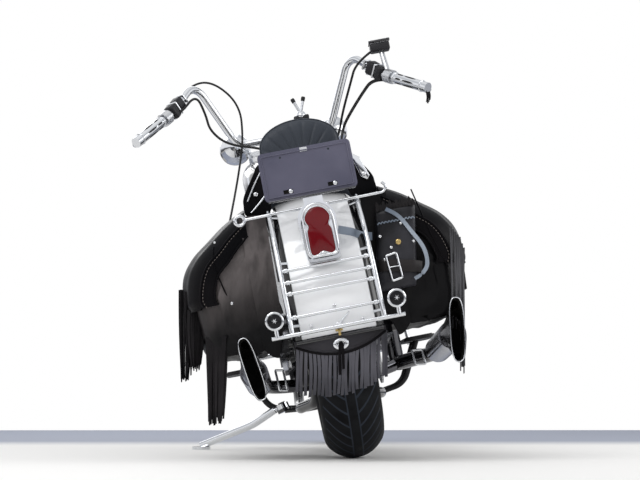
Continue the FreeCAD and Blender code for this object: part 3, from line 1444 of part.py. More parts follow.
def hand_controls():
    """Clamps, switch housings and levers; the brake's fluid reservoir sits on the right clamp."""
    parts = []
    for side in (1, -1):
        start, way, length = grip_line(side)
        clamp = rod(start + way * 15, start + way * 44, 23)
        front = AHEAD * 44 + UP * 6
        perch = rod(start + way * 24, start + way * 24 + front, 11)
        lever = tube(
            [start + way * 16 + front, start + way * 60 + front * 1.15,
             start + way * (length - 8) + front * 1.1,
             start + way * (length + 18) + front * 1.02],
            6.5, 120,
        )
        ball = Part.makeSphere(10, start + way * (length + 18) + front * 1.02)
        bore = rod(start - way * 40, start + way * 60, BAR_RADIUS + RUNNING_CLEARANCE)
        control = clamp.multiFuse([perch, lever, ball])
        if side > 0:
            control = control.multiFuse(brake_reservoir(start + way * 24))
        parts.append(control.cut(bore))
    return Part.makeCompound(parts)


def brake_reservoir(clamp):
    """Fluid box on a short neck above the right-hand clamp."""
    neck = rod(clamp + vec(0, 4, 16), clamp + vec(-6, 26, 98), 9)
    box = block(clamp.x - 38, clamp.x + 22, clamp.y + 6, clamp.y + 48, clamp.z + 92, clamp.z + 124)
    return [neck, box]


def headlamp():
    """Deep bowl, open at the front, on a bracket from the lower clamp plate."""
    centre = headlamp_centre()
    outline = [
        vec(0, -72, 0), vec(0, -70, 30), vec(0, -54, 62), vec(0, -24, 84), vec(0, 16, HEADLAMP_RADIUS),
        vec(0, 44, HEADLAMP_RADIUS + 3), vec(0, 44, HEADLAMP_RADIUS - 6), vec(0, 30, HEADLAMP_RADIUS - 8),
        vec(0, 30, 0),
    ]
    bowl = polygon_face(outline).revolve(vec(0, 0, 0), AHEAD, 360).translated(centre)
    front = FORK_OFFSET + TREE_FRONT
    bracket = rod(on_head(LOWER_TREE, 0, front - 4), centre + vec(0, 6, -60), 9).cut(tree_plate(LOWER_TREE))
    return bowl.fuse(bracket)


def headlamp_centre():
    return on_head(1040, 0, 170)


def headlamp_lens():
    centre = headlamp_centre()
    outline = [
        vec(0, 30 + SEAT_GAP, 0), vec(0, 30 + SEAT_GAP, HEADLAMP_RADIUS - 9), vec(0, 42, HEADLAMP_RADIUS - 9),
        vec(0, 52, 60), vec(0, 58, 0),
    ]
    return polygon_face(outline).revolve(vec(0, 0, 0), AHEAD, 360).translated(centre)


def passing_lamp_centre(side):
    return on_head(1190, side * PASSING_LAMP_HALF, 104)


def passing_lamps():
    """Two bowls on a bar that is bolted along the front of the upper clamp plate."""
    bar_radius = 7.0
    seat = FORK_OFFSET + TREE_FRONT + bar_radius + SEAT_GAP
    parts = []
    for side in (1, -1):
        centre = passing_lamp_centre(side)
        outline = [
            vec(0, -52, 0), vec(0, -50, 16), vec(0, -36, 36), vec(0, -8, 50),
            vec(0, 18, PASSING_LAMP_RADIUS), vec(0, 30, PASSING_LAMP_RADIUS), vec(0, 34, 46), vec(0, 40, 0),
        ]
        parts.append(polygon_face(outline).revolve(vec(0, 0, 0), AHEAD, 360).translated(centre))
    bar = tube(
        [
            passing_lamp_centre(-1) - UP * 46, on_head(UPPER_TREE + 6, -150, seat + 18),
            on_head(UPPER_TREE, -70, seat), on_head(UPPER_TREE, 70, seat),
            on_head(UPPER_TREE + 6, 150, seat + 18), passing_lamp_centre(1) - UP * 46,
        ],
        bar_radius, 30,
    )
    return bar.multiFuse(parts)


def front_fender():
    section = fender_section(FRONT_TYRE_RADIUS + 26, 62.0, 42.0, 62.0, 2.5)
    fender = swept_fender(section, FRONT_AXLE, 28.0, 176.0)
    lugs = []
    for side in (1, -1):
        start = on_head(AXLE_ALONG + 330, side * 60.5, FORK_OFFSET)
        end = on_head(AXLE_ALONG + 330, side * (FORK_HALF_WIDTH - SLIDER_RADIUS - SEAT_GAP), FORK_OFFSET)
        lugs.append(rod(start, end, 9))
    return fender.multiFuse(lugs)


def phone_holder():
    """Small clamp for a telephone on a ball and a round foot, on the right of the bar's middle."""
    bar = vec(70, BAR_LOW_Y, BAR_LOW_Z)
    foot = bar + UP * (BAR_RADIUS + SEAT_GAP)
    base = Part.makeCylinder(18, 34, foot, UP)
    ball = Part.makeSphere(17, foot + UP * 48)
    fork_a = rod(foot + UP * 56, foot + vec(-19, 0, 108), 5)
    fork_b = rod(foot + UP * 56, foot + vec(19, 0, 108), 5)
    return base.multiFuse([ball, fork_a, fork_b])


# Control cables and hoses

def left_perch():
    start, way, _ = grip_line(-1)
    return start + way * 24


def right_perch():
    start, way, _ = grip_line(1)
    return start + way * 24


def trimmed(cable, *neighbours):
    """Cuts a cable off at the faces that it meets and keeps the run between them."""
    for neighbour in neighbours:
        cable = cable.cut(neighbour)
    return max(cable.Solids, key=lambda solid: solid.Volume)


def clutch_cable():
    """Loops over the bar from the left lever and drops outside the tank to the primary cover."""
    route = [
        left_perch() + AHEAD * 30, vec(-340, 1030, 1190), vec(-275, 1105, 1275), vec(-199, 1085, 1268),
        vec(-125, 1120, 1180), vec(-137, 1130, 1063), vec(-163, 1110, 979), vec(-191, 1050, 892),
        vec(-220, 900, 795), vec(-246, 740, 705), vec(-228, 650, 590),
        vec(-122, 640, 500), vec(-120, 640, 440),
    ]
    return trimmed(tube(route, CABLE_RADIUS, CABLE_BEND), hand_controls(), primary_cover())


def throttle_cables():
    """A pair from the right-hand grip, round the steering head and down to the carburettor."""
    cables = []
    for leave, shift in ((vec(0, 11, -14), vec(0, 0, 0)), (vec(9, 14, -7), vec(0, 7, 7))):
        route = [
            vec(319, 990, 1158), vec(276, 1040, 1122), vec(228, 1100, 1074), vec(200, 1130, 1040),
            vec(178, 1110, 975), vec(178, 1020, 862), vec(140, 900, 766),
            vec(95, 812, 740), vec(95, 806, 660),
        ]
        route = [right_perch() + leave] + [point + shift for point in route]
        cable = tube(route, THROTTLE_RADIUS, CABLE_BEND)
        cables.append(trimmed(cable, hand_controls(), handlebar(), air_cleaner()))
    return Part.makeCompound(cables)


def brake_hose():
    """From the fluid reservoir behind the right side of the bar, down outside the fork leg to the caliper."""
    route = [
        right_perch() + vec(-20, 30, 104), vec(276, 1010, 1229), vec(245, 1055, 1166), vec(204, 1112, 1084),
        vec(186, 1165, 1032), on_head(1120, 152, 70), on_head(760, 150, 66), on_head(600, 150, 20),
        FRONT_AXLE + vec(98, -150, 135), FRONT_AXLE + vec(84, -138, 92), FRONT_AXLE + vec(80, -126, 66),
    ]
    return trimmed(tube(route, HOSE_RADIUS, CABLE_BEND), hand_controls(), front_caliper())


def switch_wiring():
    """Loom of the left-hand switches, along the bar and in at the upper clamp plate."""
    route = [
        left_perch() + vec(0, 11, -14), vec(-318, 975, 1163), vec(-262, 1045, 1228), vec(-243, 1078, 1161),
        vec(-240, 1096, 1108), vec(-190, 1098, 1050), vec(-81, 1098, 1018), vec(-24, 1150, 990),
        on_head(UPPER_TREE, -20, -24),
    ]
    return trimmed(tube(route, HOSE_RADIUS, CABLE_BEND), hand_controls(), handlebar(), fork_trees())


def side_stand():
    """Round leg on a forked pivot eye, with a flat foot that lies on the floor when the machine leans."""
    pivot = vec(*STAND_PIVOT)
    foot = lean_inverse(vec(STAND_FOOT_X, STAND_FOOT_Y, 12))
    way = (foot - pivot).normalize()
    leg = tube([pivot + way * 28, pivot + way * 110 - UP * 12, foot], STAND_LEG_RADIUS, 160)
    neck = rod(pivot + way * 8, pivot + way * 44 - UP * 2, 6.5)
    eye = Part.makeCylinder(19, 14, pivot - stand_axis() * 7, stand_axis())
    pad = Part.makeCylinder(28, 9, vec(STAND_FOOT_X, STAND_FOOT_Y, 0), UP)
    pad.Placement = stance_inverse().multiply(pad.Placement)
    bore_radius = STAND_PIN_RADIUS + RUNNING_CLEARANCE
    bore = Part.makeCylinder(bore_radius, 60, pivot - stand_axis() * 30, stand_axis())
    return leg.multiFuse([neck, eye, pad]).cut(bore)


def stand_axis():
    """The pin is square to the leg both when it is down and when it is folded back along the rail."""
    pivot = vec(*STAND_PIVOT)
    down = (lean_inverse(vec(STAND_FOOT_X, STAND_FOOT_Y, 12)) - pivot).normalize()
    folded = vec(-0.12, -0.99, 0.02).normalize()
    return down.cross(folded).normalize()


# Parking: the machine turns about the line under its tyres, then rises until both crowns touch.

def stance():
    sink_rear = REAR_CROWN_RADIUS * (1 - math.cos(LEAN))
    sink_front = FRONT_CROWN_RADIUS * (1 - math.cos(LEAN))
    lean = FreeCAD.Placement(vec(0, 0, 0), FreeCAD.Rotation(vec(0, 1, 0), -math.degrees(LEAN)))
    pitch = math.degrees(math.atan2(sink_front - sink_rear, WHEELBASE))
    level = FreeCAD.Placement(vec(0, 0, sink_rear), FreeCAD.Rotation(vec(1, 0, 0), pitch))
    return level.multiply(lean)


def stance_inverse():
    return stance().inverse()


def lean_inverse(point):
    return stance_inverse().multVec(point)


NODES = {
    "frame_tubes": frame_tubes,
    "swingarm": swingarm,
    "crankcase": crankcase,
    "cylinders": cylinders,
    "rocker_boxes": rocker_boxes,
    "air_cleaner": air_cleaner,
    "transmission": transmission,
    "primary_cover": primary_cover,
    "oil_tank": oil_tank,
    "drive_belt": drive_belt,
    "exhaust_right": exhaust_right,
    "exhaust_left": exhaust_left,
    "fuel_tank": fuel_tank,
    "tank_fittings": tank_fittings,
    "rider_seat": rider_seat,
    "pillion_seat": pillion_seat,
    "backrest_pad": backrest_pad,
    "sissy_bar": sissy_bar,
    "rear_fender": rear_fender,
    "fender_struts": fender_struts,
    "fender_guard": fender_guard,
    "number_plate": number_plate,
    "tail_lamp": tail_lamp,
    "tail_lens": tail_lens,
    "rear_signals": rear_signals,
    "mudflap": mudflap,
    "saddlebag_left": saddlebag_left,
    "saddlebag_right": saddlebag_right,
    "tool_case": tool_case,
    "footboards": footboards,
    "foot_controls": foot_controls,
    "rear_caliper": rear_caliper,
    "fork_legs": fork_legs,
    "fork_trees": fork_trees,
    "handlebar": handlebar,
    "grips": grips,
    "hand_controls": hand_controls,
    "headlamp": headlamp,
    "headlamp_lens": headlamp_lens,
    "passing_lamps": passing_lamps,
    "front_fender": front_fender,
    "front_caliper": front_caliper,
    "phone_holder": phone_holder,
    "clutch_cable": clutch_cable,
    "throttle_cables": throttle_cables,
    "brake_hose": brake_hose,
    "switch_wiring": switch_wiring,
    "front_tyre": front_tyre,
    "front_wheel": front_wheel,
    "rear_tyre": rear_tyre,
    "rear_wheel": rear_wheel,
    "side_stand": side_stand,
}


def middle_of(shapes):
    """The step that puts the parked machine's middle over the frame's origin."""
    low, high = [math.inf] * 2, [-math.inf] * 2
    for shape in shapes:
        corners = shape.tessellate(BOX_TOLERANCE)[0]
        for axis in range(2):
            low[axis] = min([low[axis]] + [corner[axis] for corner in corners])
            high[axis] = max([high[axis]] + [corner[axis] for corner in corners])
    return vec(-(low[0] + high[0]) / 2, -(low[1] + high[1]) / 2, 0)


def main():
    os.makedirs("parts", exist_ok=True)
    parked = stance()
    shapes = {}
    for name, make in NODES.items():
        shape = make()
        shape.Placement = parked.multiply(shape.Placement)
        shapes[name] = shape
    step = middle_of(shapes.values())
    for name, shape in shapes.items():
        shape.translate(step)
        shape.exportStep(f"parts/{name}.step")


main()
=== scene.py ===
import json
import math
import random

import bmesh
import bpy
from mathutils import Matrix, Vector, noise


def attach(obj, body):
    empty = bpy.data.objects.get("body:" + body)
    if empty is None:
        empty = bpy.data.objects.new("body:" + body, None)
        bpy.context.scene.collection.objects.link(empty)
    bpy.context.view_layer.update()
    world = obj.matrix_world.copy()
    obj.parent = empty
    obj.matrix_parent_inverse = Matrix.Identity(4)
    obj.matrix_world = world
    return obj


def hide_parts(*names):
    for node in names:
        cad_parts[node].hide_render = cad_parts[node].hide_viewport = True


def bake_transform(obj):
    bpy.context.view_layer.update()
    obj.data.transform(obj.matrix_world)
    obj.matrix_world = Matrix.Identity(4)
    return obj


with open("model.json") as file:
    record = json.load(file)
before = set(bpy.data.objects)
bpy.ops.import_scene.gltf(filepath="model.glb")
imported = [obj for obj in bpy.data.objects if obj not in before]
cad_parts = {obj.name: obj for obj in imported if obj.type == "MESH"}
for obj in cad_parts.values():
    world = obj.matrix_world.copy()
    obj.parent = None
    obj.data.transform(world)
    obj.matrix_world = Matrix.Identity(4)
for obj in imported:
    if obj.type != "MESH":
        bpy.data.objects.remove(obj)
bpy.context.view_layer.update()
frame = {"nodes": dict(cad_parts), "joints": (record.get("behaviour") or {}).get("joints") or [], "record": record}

# A long chopper parked on its side stand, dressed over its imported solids.
# Pieces are drawn in the machine's own upright axes, in millimetres from where its rear tyre
# meets the floor: x to the rider's right, y forward, z up. stand_up() then leans them into place.

NODES = frame["nodes"]
JOINTS = {joint["name"]: joint for joint in frame["joints"]}

REAR_TYRE_RADIUS = 323.0
FRONT_TYRE_RADIUS = 345.0
WHEELBASE = 1690.0
AXLE = Vector((0.0, 0.0, REAR_TYRE_RADIUS))
FENDER_RADIUS = 375.0
FENDER_SHADE_EDGE = 91.0
FRONT_FENDER_SHADE_EDGE = 44.0
GUARD_RADIUS = 388.0
REARWARD = (0, -1, 0)
SIDES = ((1, "right"), (-1, "left"))
MILLIMETRE = Matrix.Scale(0.001, 4)


def machine_axes():
    """The machine's lean, read from the two wheel joints."""
    side = Vector(JOINTS["rear_wheel"]["axis"]).normalized()
    rear = Vector(JOINTS["rear_wheel"]["pos_m"])
    between = Vector(JOINTS["front_wheel"]["pos_m"]) - rear
    rise = FRONT_TYRE_RADIUS - REAR_TYRE_RADIUS
    ahead = (between * WHEELBASE - side.cross(between) * rise).normalized()
    turn = Matrix((side, ahead, side.cross(ahead))).transposed().to_4x4()
    foot = rear - turn @ (AXLE / 1000)
    return Matrix.Translation(foot) @ turn


MACHINE = machine_axes()
SIDE = (MACHINE.to_3x3() @ Vector((1, 0, 0))).normalized()
AHEAD = (MACHINE.to_3x3() @ Vector((0, 1, 0))).normalized()
RISE = (MACHINE.to_3x3() @ Vector((0, 0, 1))).normalized()
DOWN = (MACHINE.to_3x3().inverted() @ Vector((0, 0, -1))).normalized()


def stand_up(piece):
    """Leans a piece that was drawn upright in millimetres, and leaves its object at the origin."""
    piece.data.transform(MACHINE @ MILLIMETRE)
    piece.data.update()


def behind_axle(radius, z):
    """Where a circle round the rear axle stands behind it at a height."""
    return -math.sqrt(radius ** 2 - (z - REAR_TYRE_RADIUS) ** 2)


# Camera, floor and light

CAMERA_SIDE = -175.6
CAMERA_BACK = -4327.6
CAMERA_HEIGHT = 136.5
CAMERA_SWING = math.radians(1.0)
SENSOR_WIDTH = 36
VIEW_WIDTH = 640
VIEW_FOCUS = 1650
VIEW_HORIZON = 165
CAMERA_RISE = math.atan(VIEW_HORIZON / VIEW_FOCUS)
CAMERA_LENS = SENSOR_WIDTH * VIEW_FOCUS / VIEW_WIDTH

FLOOR_NEAR = -9.0
FLOOR_BAND = 0.85
FLOOR_SOFT = 0.7
FLOOR_END = 3.9
FLOOR_HALF = 11.0

WORLD_LIGHT = 0.62
LAMP_AIM = Vector((0, -0.5, 0.6))
# Lamps: name, place, size in metres and power.
LAMPS = (
    ("lamp_over", (-1.6, -2.6, 3.4), 2.6, 60), ("lamp_right", (3.4, -1.2, 2.2), 2.0, 34),
    ("lamp_ahead", (-1.0, 3.6, 2.8), 2.4, 30),
)
# The room that polished metal mirrors, from below to above: floor, dark wall, windows, ceiling.
ROOM_STEPS = (
    (0.0, (0.5, 0.48, 0.46)), (0.44, (0.42, 0.41, 0.40)), (0.475, (0.05, 0.05, 0.055)),
    (0.52, (0.12, 0.12, 0.13)), (0.56, (0.95, 0.96, 1.0)), (0.70, (1.0, 1.0, 1.0)),
    (0.84, (0.55, 0.57, 0.60)), (1.0, (1.0, 1.0, 1.0)),
)


def put_in_scene(name, data):
    obj = bpy.data.objects.new(name, data)
    bpy.context.scene.collection.objects.link(obj)
    return obj


def set_camera():
    data = bpy.data.cameras.new("camera")
    data.lens = CAMERA_LENS
    data.sensor_width = SENSOR_WIDTH
    data.clip_end = 100
    camera = put_in_scene("camera", data)
    contact = MACHINE.translation
    camera.location = (
        contact.x + CAMERA_SIDE / 1000, contact.y + CAMERA_BACK / 1000, CAMERA_HEIGHT / 1000,
    )
    camera.rotation_euler = (math.pi / 2 + CAMERA_RISE, 0, -CAMERA_SWING)
    bpy.context.scene.camera = camera


def lay_floor():
    """Pale concrete that ends in a grey band under the horizon."""
    mesh = bpy.data.meshes.new("floor")
    corners = [
        (-FLOOR_HALF, FLOOR_NEAR, 0), (FLOOR_HALF, FLOOR_NEAR, 0),
        (FLOOR_HALF, FLOOR_END, 0), (-FLOOR_HALF, FLOOR_END, 0),
    ]
    mesh.from_pydata(corners, [], [(0, 1, 2, 3)])
    floor = put_in_scene("floor", mesh)
    mat, tree, shader = new_finish("floor_concrete", (0.94, 0.93, 0.92), {"Roughness": 0.75})
    ramp = colour_steps(
        tree, axis_share(tree, "Y", FLOOR_BAND - FLOOR_SOFT, FLOOR_BAND + FLOOR_SOFT),
        [(0.25, (0.94, 0.935, 0.925)), (0.75, (0.37, 0.40, 0.49))],
    )
    feed(tree, shader, {"Base Color": ramp})
    mesh.materials.append(mat)


def light_studio():
    """A white studio to the eye and through glass; gloss mirrors a darker room."""
    scene = bpy.context.scene
    scene.view_settings.view_transform = "Standard"
    world = bpy.data.worlds.new("studio")
    scene.world = world
    world.use_nodes = True
    tree = world.node_tree
    tree.nodes.clear()
    white = (1, 1, 1, 1)
    way = tree.nodes.new("ShaderNodeTexCoord").outputs["Generated"]
    height = new_node(tree, "ShaderNodeSeparateXYZ", {0: way}).outputs["Z"]
    room = colour_steps(tree, map_range(tree, height, -1, 1), ROOM_STEPS)
    lit = new_node(tree, "ShaderNodeBackground", {"Color": white, "Strength": WORLD_LIGHT}).outputs[0]
    mirrored = new_node(tree, "ShaderNodeBackground", {"Color": room}).outputs[0]
    seen = new_node(tree, "ShaderNodeBackground", {"Color": white}).outputs[0]
    path = tree.nodes.new("ShaderNodeLightPath").outputs
    direct = maths(tree, "MAXIMUM", path["Is Camera Ray"], path["Is Transmission Ray"])
    gloss = new_node(tree, "ShaderNodeMixShader", {0: path["Is Glossy Ray"], 1: lit, 2: mirrored}).outputs[0]
    final = new_node(tree, "ShaderNodeMixShader", {0: direct, 1: gloss, 2: seen}).outputs[0]
    new_node(tree, "ShaderNodeOutputWorld", {"Surface": final})
    for row in LAMPS:
        hang_lamp(*row)


def hang_lamp(name, place, size, power):
    data = bpy.data.lights.new(name, "AREA")
    data.shape = "SQUARE"
    data.size = size
    data.energy = power
    lamp = put_in_scene(name, data)
    lamp.location = place
    lamp.rotation_euler = (LAMP_AIM - Vector(place)).to_track_quat("-Z", "Y").to_euler()


# Shader nodes

def feed(tree, node, inputs):
    """Gives a node's inputs their values, or links them to other nodes' outputs."""
    for key, value in inputs.items():
        if isinstance(value, bpy.types.NodeSocket):
            tree.links.new(value, node.inputs[key])
        else:
            node.inputs[key].default_value = value
    return node


def new_node(tree, kind, inputs):
    return feed(tree, tree.nodes.new(kind), inputs)


def object_place(tree):
    return tree.nodes.new("ShaderNodeTexCoord").outputs["Object"]


def maths(tree, operation, *values):
    node = tree.nodes.new("ShaderNodeMath")
    node.operation = operation
    return feed(tree, node, dict(enumerate(values))).outputs[0]


def map_range(tree, source, low, high, first=0.0, last=1.0):
    """How far a source lies from low to high, as a value from first to last."""
    inputs = {"Value": source, "From Min": low, "From Max": high, "To Min": first, "To Max": last}
    return new_node(tree, "ShaderNodeMapRange", inputs).outputs["Result"]


def grain(tree, scale, detail=4.0, distortion=0.0, stretch=None):
    """Fractal noise on the piece's own coordinates, in metres."""
    place = object_place(tree)
    if stretch:
        place = new_node(tree, "ShaderNodeMapping", {"Vector": place, "Scale": stretch}).outputs["Vector"]
    inputs = {"Scale": scale, "Detail": detail, "Distortion": distortion, "Vector": place}
    return new_node(tree, "ShaderNodeTexNoise", inputs).outputs["Fac"]


def cells(tree, scale, randomness=1.0):
    inputs = {"Scale": scale, "Randomness": randomness, "Vector": object_place(tree)}
    return new_node(tree, "ShaderNodeTexVoronoi", inputs).outputs["Distance"]


def axis_share(tree, axis, low, high):
    """How far a point lies from low to high along one axis of the piece, from 0 to 1."""
    split = new_node(tree, "ShaderNodeSeparateXYZ", {0: object_place(tree)})
    return map_range(tree, split.outputs[axis], low, high)


def along_axis(tree, axis, origin):
    """Distance of each point from the origin along an axis, in metres."""
    offset = tree.nodes.new("ShaderNodeVectorMath")
    offset.operation = "SUBTRACT"
    feed(tree, offset, {0: object_place(tree), 1: origin})
    share = tree.nodes.new("ShaderNodeVectorMath")
    share.operation = "DOT_PRODUCT"
    return feed(tree, share, {0: offset.outputs[0], 1: axis}).outputs["Value"]


def colour_steps(tree, source, steps):
    ramp = tree.nodes.new("ShaderNodeValToRGB")
    entries = ramp.color_ramp.elements
    while len(entries) < len(steps):
        entries.new(0.5)
    for entry, (position, colour) in zip(entries, steps):
        entry.position = position
        entry.color = (*colour, 1)
    tree.links.new(source, ramp.inputs["Fac"])
    return ramp.outputs["Color"]


def vary_roughness(tree, shader, source, low, high):
    feed(tree, shader, {"Roughness": map_range(tree, source, 0.3, 0.7, low, high)})


def raise_bumps(tree, shader, sources, distance=0.0005):
    """Adds bump layers to a shader: pairs of a height source and its strength."""
    inputs = {}
    for source, strength in sources:
        inputs.update({"Strength": strength, "Distance": distance, "Height": source})
        inputs["Normal"] = new_node(tree, "ShaderNodeBump", inputs).outputs["Normal"]
    feed(tree, shader, {"Normal": inputs["Normal"]})


# Finishes

ENAMEL_WHITE = (0.93, 0.94, 0.96)
SHOULDER_SHADE_BLACK = (0.004, 0.004, 0.005)
COAT_WEIGHT = 0.8
SHADE_COAT_LOSS = 0.72
TREAD_PITCH = 0.046
TREAD_SWEEP = 2.4
TREAD_CURVE = 1.35
TREAD_DEPTH = 0.004
TREAD_GROOVE = 0.26
TREAD_RIB = 0.011
TREAD_LINE = 0.0125
TREAD_LINE_HALF = 0.0018


def new_finish(name, colour, inputs):
    mat = bpy.data.materials.new(name)
    mat.use_nodes = True
    tree = mat.node_tree
    shader = feed(tree, tree.nodes["Principled BSDF"], {"Base Color": (*colour, 1), **inputs})
    return mat, tree, shader


def grained(name, colour, inputs, wear, bumps, distance=0.0005):
    """A finish whose roughness follows one grain, from low to high, and whose bumps follow others."""
    mat, tree, shader = new_finish(name, colour, inputs)
    scale, detail, low, high = wear
    vary_roughness(tree, shader, grain(tree, scale, detail), low, high)
    layers = [(grain(tree, size, fine), strength) for size, fine, strength in bumps]
    raise_bumps(tree, shader, layers, distance)
    return mat


def chrome_finish(name="chrome_plate", colour=(0.74, 0.755, 0.78), low=0.04, high=0.13):
    return grained(name, colour, {"Metallic": 1.0}, (26, 5, low, high), [(9, 2, 0.05)], 0.002)


def enamel_finish(name, colour):
    coat = {"Coat Weight": COAT_WEIGHT, "Coat Roughness": 0.05}
    return grained(name, colour, coat, (14, 5, 0.06, 0.16), [(60, 2, 0.04)], 0.001)


def alloy_finish(name, colour, rough):
    wear = (40, 6, rough - 0.08, rough + 0.12)
    return grained(name, colour, {"Metallic": 0.9}, wear, [(260, 3, 0.25), (30, 3, 0.1)])


def rubber_finish(name, colour, rough):
    wear = (30, 6, rough - 0.12, rough + 0.12)
    return grained(name, colour, {"Specular IOR Level": 0.22}, wear, [(420, 3, 0.3)])


def plate_finish():
    mat = grained("plate_enamel", (0.09, 0.09, 0.14), {}, (30, 5, 0.3, 0.5), [(90, 3, 0.08)], 0.0006)
    tree = mat.node_tree
    tones = [(0.3, (0.075, 0.075, 0.12)), (0.7, (0.115, 0.112, 0.165))]
    stain = colour_steps(tree, grain(tree, 9, 5), tones)
    feed(tree, tree.nodes["Principled BSDF"], {"Base Color": stain})
    return mat


def fin_finish():
    """Black engine castings whose edges were milled bright, with painted shade that makes their hollows a little
    darker.
    """
    mat, tree, shader = new_finish("engine_black", (0.03, 0.03, 0.033), {"Roughness": 0.55})
    # Pointiness sets the colour: milled bright on edges, painted shade a little darker in hollows.
    edge = colour_steps(
        tree, tree.nodes.new("ShaderNodeNewGeometry").outputs["Pointiness"],
        [(0.0, (0.02, 0.02, 0.022)), (0.52, (0.035, 0.035, 0.038)), (0.60, (0.42, 0.42, 0.43))],
    )
    feed(tree, shader, {"Base Color": edge})
    raise_bumps(tree, shader, [(grain(tree, 300, 3), 0.4)])
    return mat


def leather_finish(name, dark, light, low=0.32, high=0.6, fine=0.35, creases=0.5, mirror=0.16, sheen_heights=None):
    """Hide with pores and long creases, and painted sheen: lighter patches of colour that stand in for broad
    highlights, laid high up when heights are given.
    """
    mat, tree, shader = new_finish(name, dark, {"Specular IOR Level": mirror})
    if sheen_heights:
        # Painted highlight: lighter patches and vertical streaks, weighted to the upper part and fading out past
        # 0.2 m to the right.
        highlight_streaks = maths(tree, "MULTIPLY", grain(tree, 15, 4, 0.5, stretch=(1.0, 1.0, 0.28)), 0.55)
        sheen_patches = maths(tree, "SUBTRACT", maths(tree, "ADD", grain(tree, 5.2, 4, 0.9), highlight_streaks), 0.27)
        source = maths(tree, "MULTIPLY", sheen_patches, axis_share(tree, "Z", *sheen_heights))
        source = maths(tree, "MULTIPLY", source, axis_share(tree, "X", 0.20, 0.0))
        middle = tuple((a + b) * 0.38 for a, b in zip(dark, light))
        painted_sheen = colour_steps(tree, source, [(0.06, dark), (0.20, middle), (0.33, light), (0.50, middle)])
    else:
        # Painted sheen: lighter patches from slow noise stand in for broad highlights.
        painted_sheen = colour_steps(tree, grain(tree, 4.2, 3, 0.6), [(0.40, dark), (0.66, light), (0.86, dark)])
    feed(tree, shader, {"Base Color": painted_sheen})
    vary_roughness(tree, shader, grain(tree, 18, 6), low, high)
    pores, folds, waves = cells(tree, 520), grain(tree, 46, 7, 1.2), grain(tree, 11, 3, 0.8)
    raise_bumps(tree, shader, [(pores, fine), (folds, creases), (waves, 0.5)], 0.0006)
    return mat


def lens_finish(name, colour, roughness, coat=1.0):
    mat, tree, shader = new_finish(name, colour, {
        "Roughness": roughness, "Coat Weight": coat, "Coat Roughness": 0.03, "Specular IOR Level": coat / 2,
    })
    raise_bumps(tree, shader, [(cells(tree, 260, 0.1), 0.25)])
    return mat


def fender_finish(name, shade_band_edge):
    """White enamel whose shoulders, beyond the given millimetres from the middle, are painted shade: black with
    less clear coat, standing in for the dark gap beside a narrower fender.
    """
    mat = enamel_finish(name, ENAMEL_WHITE)
    tree = mat.node_tree
    edge = shade_band_edge / 1000
    from_middle = maths(tree, "ABSOLUTE", along_axis(tree, SIDE, MACHINE.translation))
    share = map_range(tree, from_middle, edge - 0.001, edge + 0.001)
    # Painted shade: black shoulders with less coat stand in for the dark gap beside the fender.
    white_and_painted_shade = colour_steps(tree, share, [(0.0, ENAMEL_WHITE), (1.0, SHOULDER_SHADE_BLACK)])
    coat = maths(tree, "MULTIPLY_ADD", share, -SHADE_COAT_LOSS, COAT_WEIGHT)
    feed(tree, tree.nodes["Principled BSDF"], {"Base Color": white_and_painted_shade, "Coat Weight": coat})
    return mat


def tyre_finish(name, joint, radius, half_tread):
    """Worn rubber with slanting grooves that curve away from a centre rib; the grooves and thin lines beside the
    rib are painted a lighter blue-grey as painted highlight.
    """
    mat, tree, shader = new_finish(name, (0.010, 0.010, 0.011), {"Specular IOR Level": 0.05})
    axle = Vector(joint["pos_m"])
    lateral = maths(tree, "ABSOLUTE", along_axis(tree, SIDE, axle))
    angle = maths(tree, "ARCTAN2", along_axis(tree, RISE, axle), along_axis(tree, AHEAD, axle))
    around = maths(tree, "MULTIPLY", angle, radius / 1000)
    swept = maths(tree, "MULTIPLY", maths(tree, "POWER", lateral, TREAD_CURVE), TREAD_SWEEP)
    phase = maths(tree, "DIVIDE", maths(tree, "ADD", around, swept), TREAD_PITCH)
    wave = maths(tree, "ABSOLUTE", maths(tree, "SINE", maths(tree, "MULTIPLY", phase, math.pi)))
    groove = maths(tree, "LESS_THAN", wave, TREAD_GROOVE)
    inside = maths(tree, "LESS_THAN", lateral, half_tread)
    off_rib = maths(tree, "GREATER_THAN", lateral, TREAD_RIB)
    cut = maths(tree, "MULTIPLY", maths(tree, "MULTIPLY", groove, inside), off_rib)
    rib = maths(tree, "COMPARE", lateral, TREAD_LINE, TREAD_LINE_HALF)
    grooves_and_highlight = maths(tree, "MAXIMUM", cut, rib)
    dust = grain(tree, 24, 6)
    worn = colour_steps(tree, dust, [(0.3, (0.004, 0.004, 0.005)), (0.75, (0.016, 0.017, 0.019))])
    # Painted highlight: grooves and rib lines take a lighter blue-grey that stands in for their bright edges.
    dust_and_highlight = tree.nodes.new("ShaderNodeMix")
    dust_and_highlight.data_type = "RGBA"
    feed(tree, dust_and_highlight, {0: grooves_and_highlight, 6: worn, 7: (0.030, 0.036, 0.048, 1)})
    feed(tree, shader, {"Base Color": dust_and_highlight.outputs[2]})
    vary_roughness(tree, shader, dust, 0.42, 0.75)
    raise_bumps(tree, shader, [(maths(tree, "SUBTRACT", 1.0, grooves_and_highlight), 0.9)], TREAD_DEPTH)
    return mat


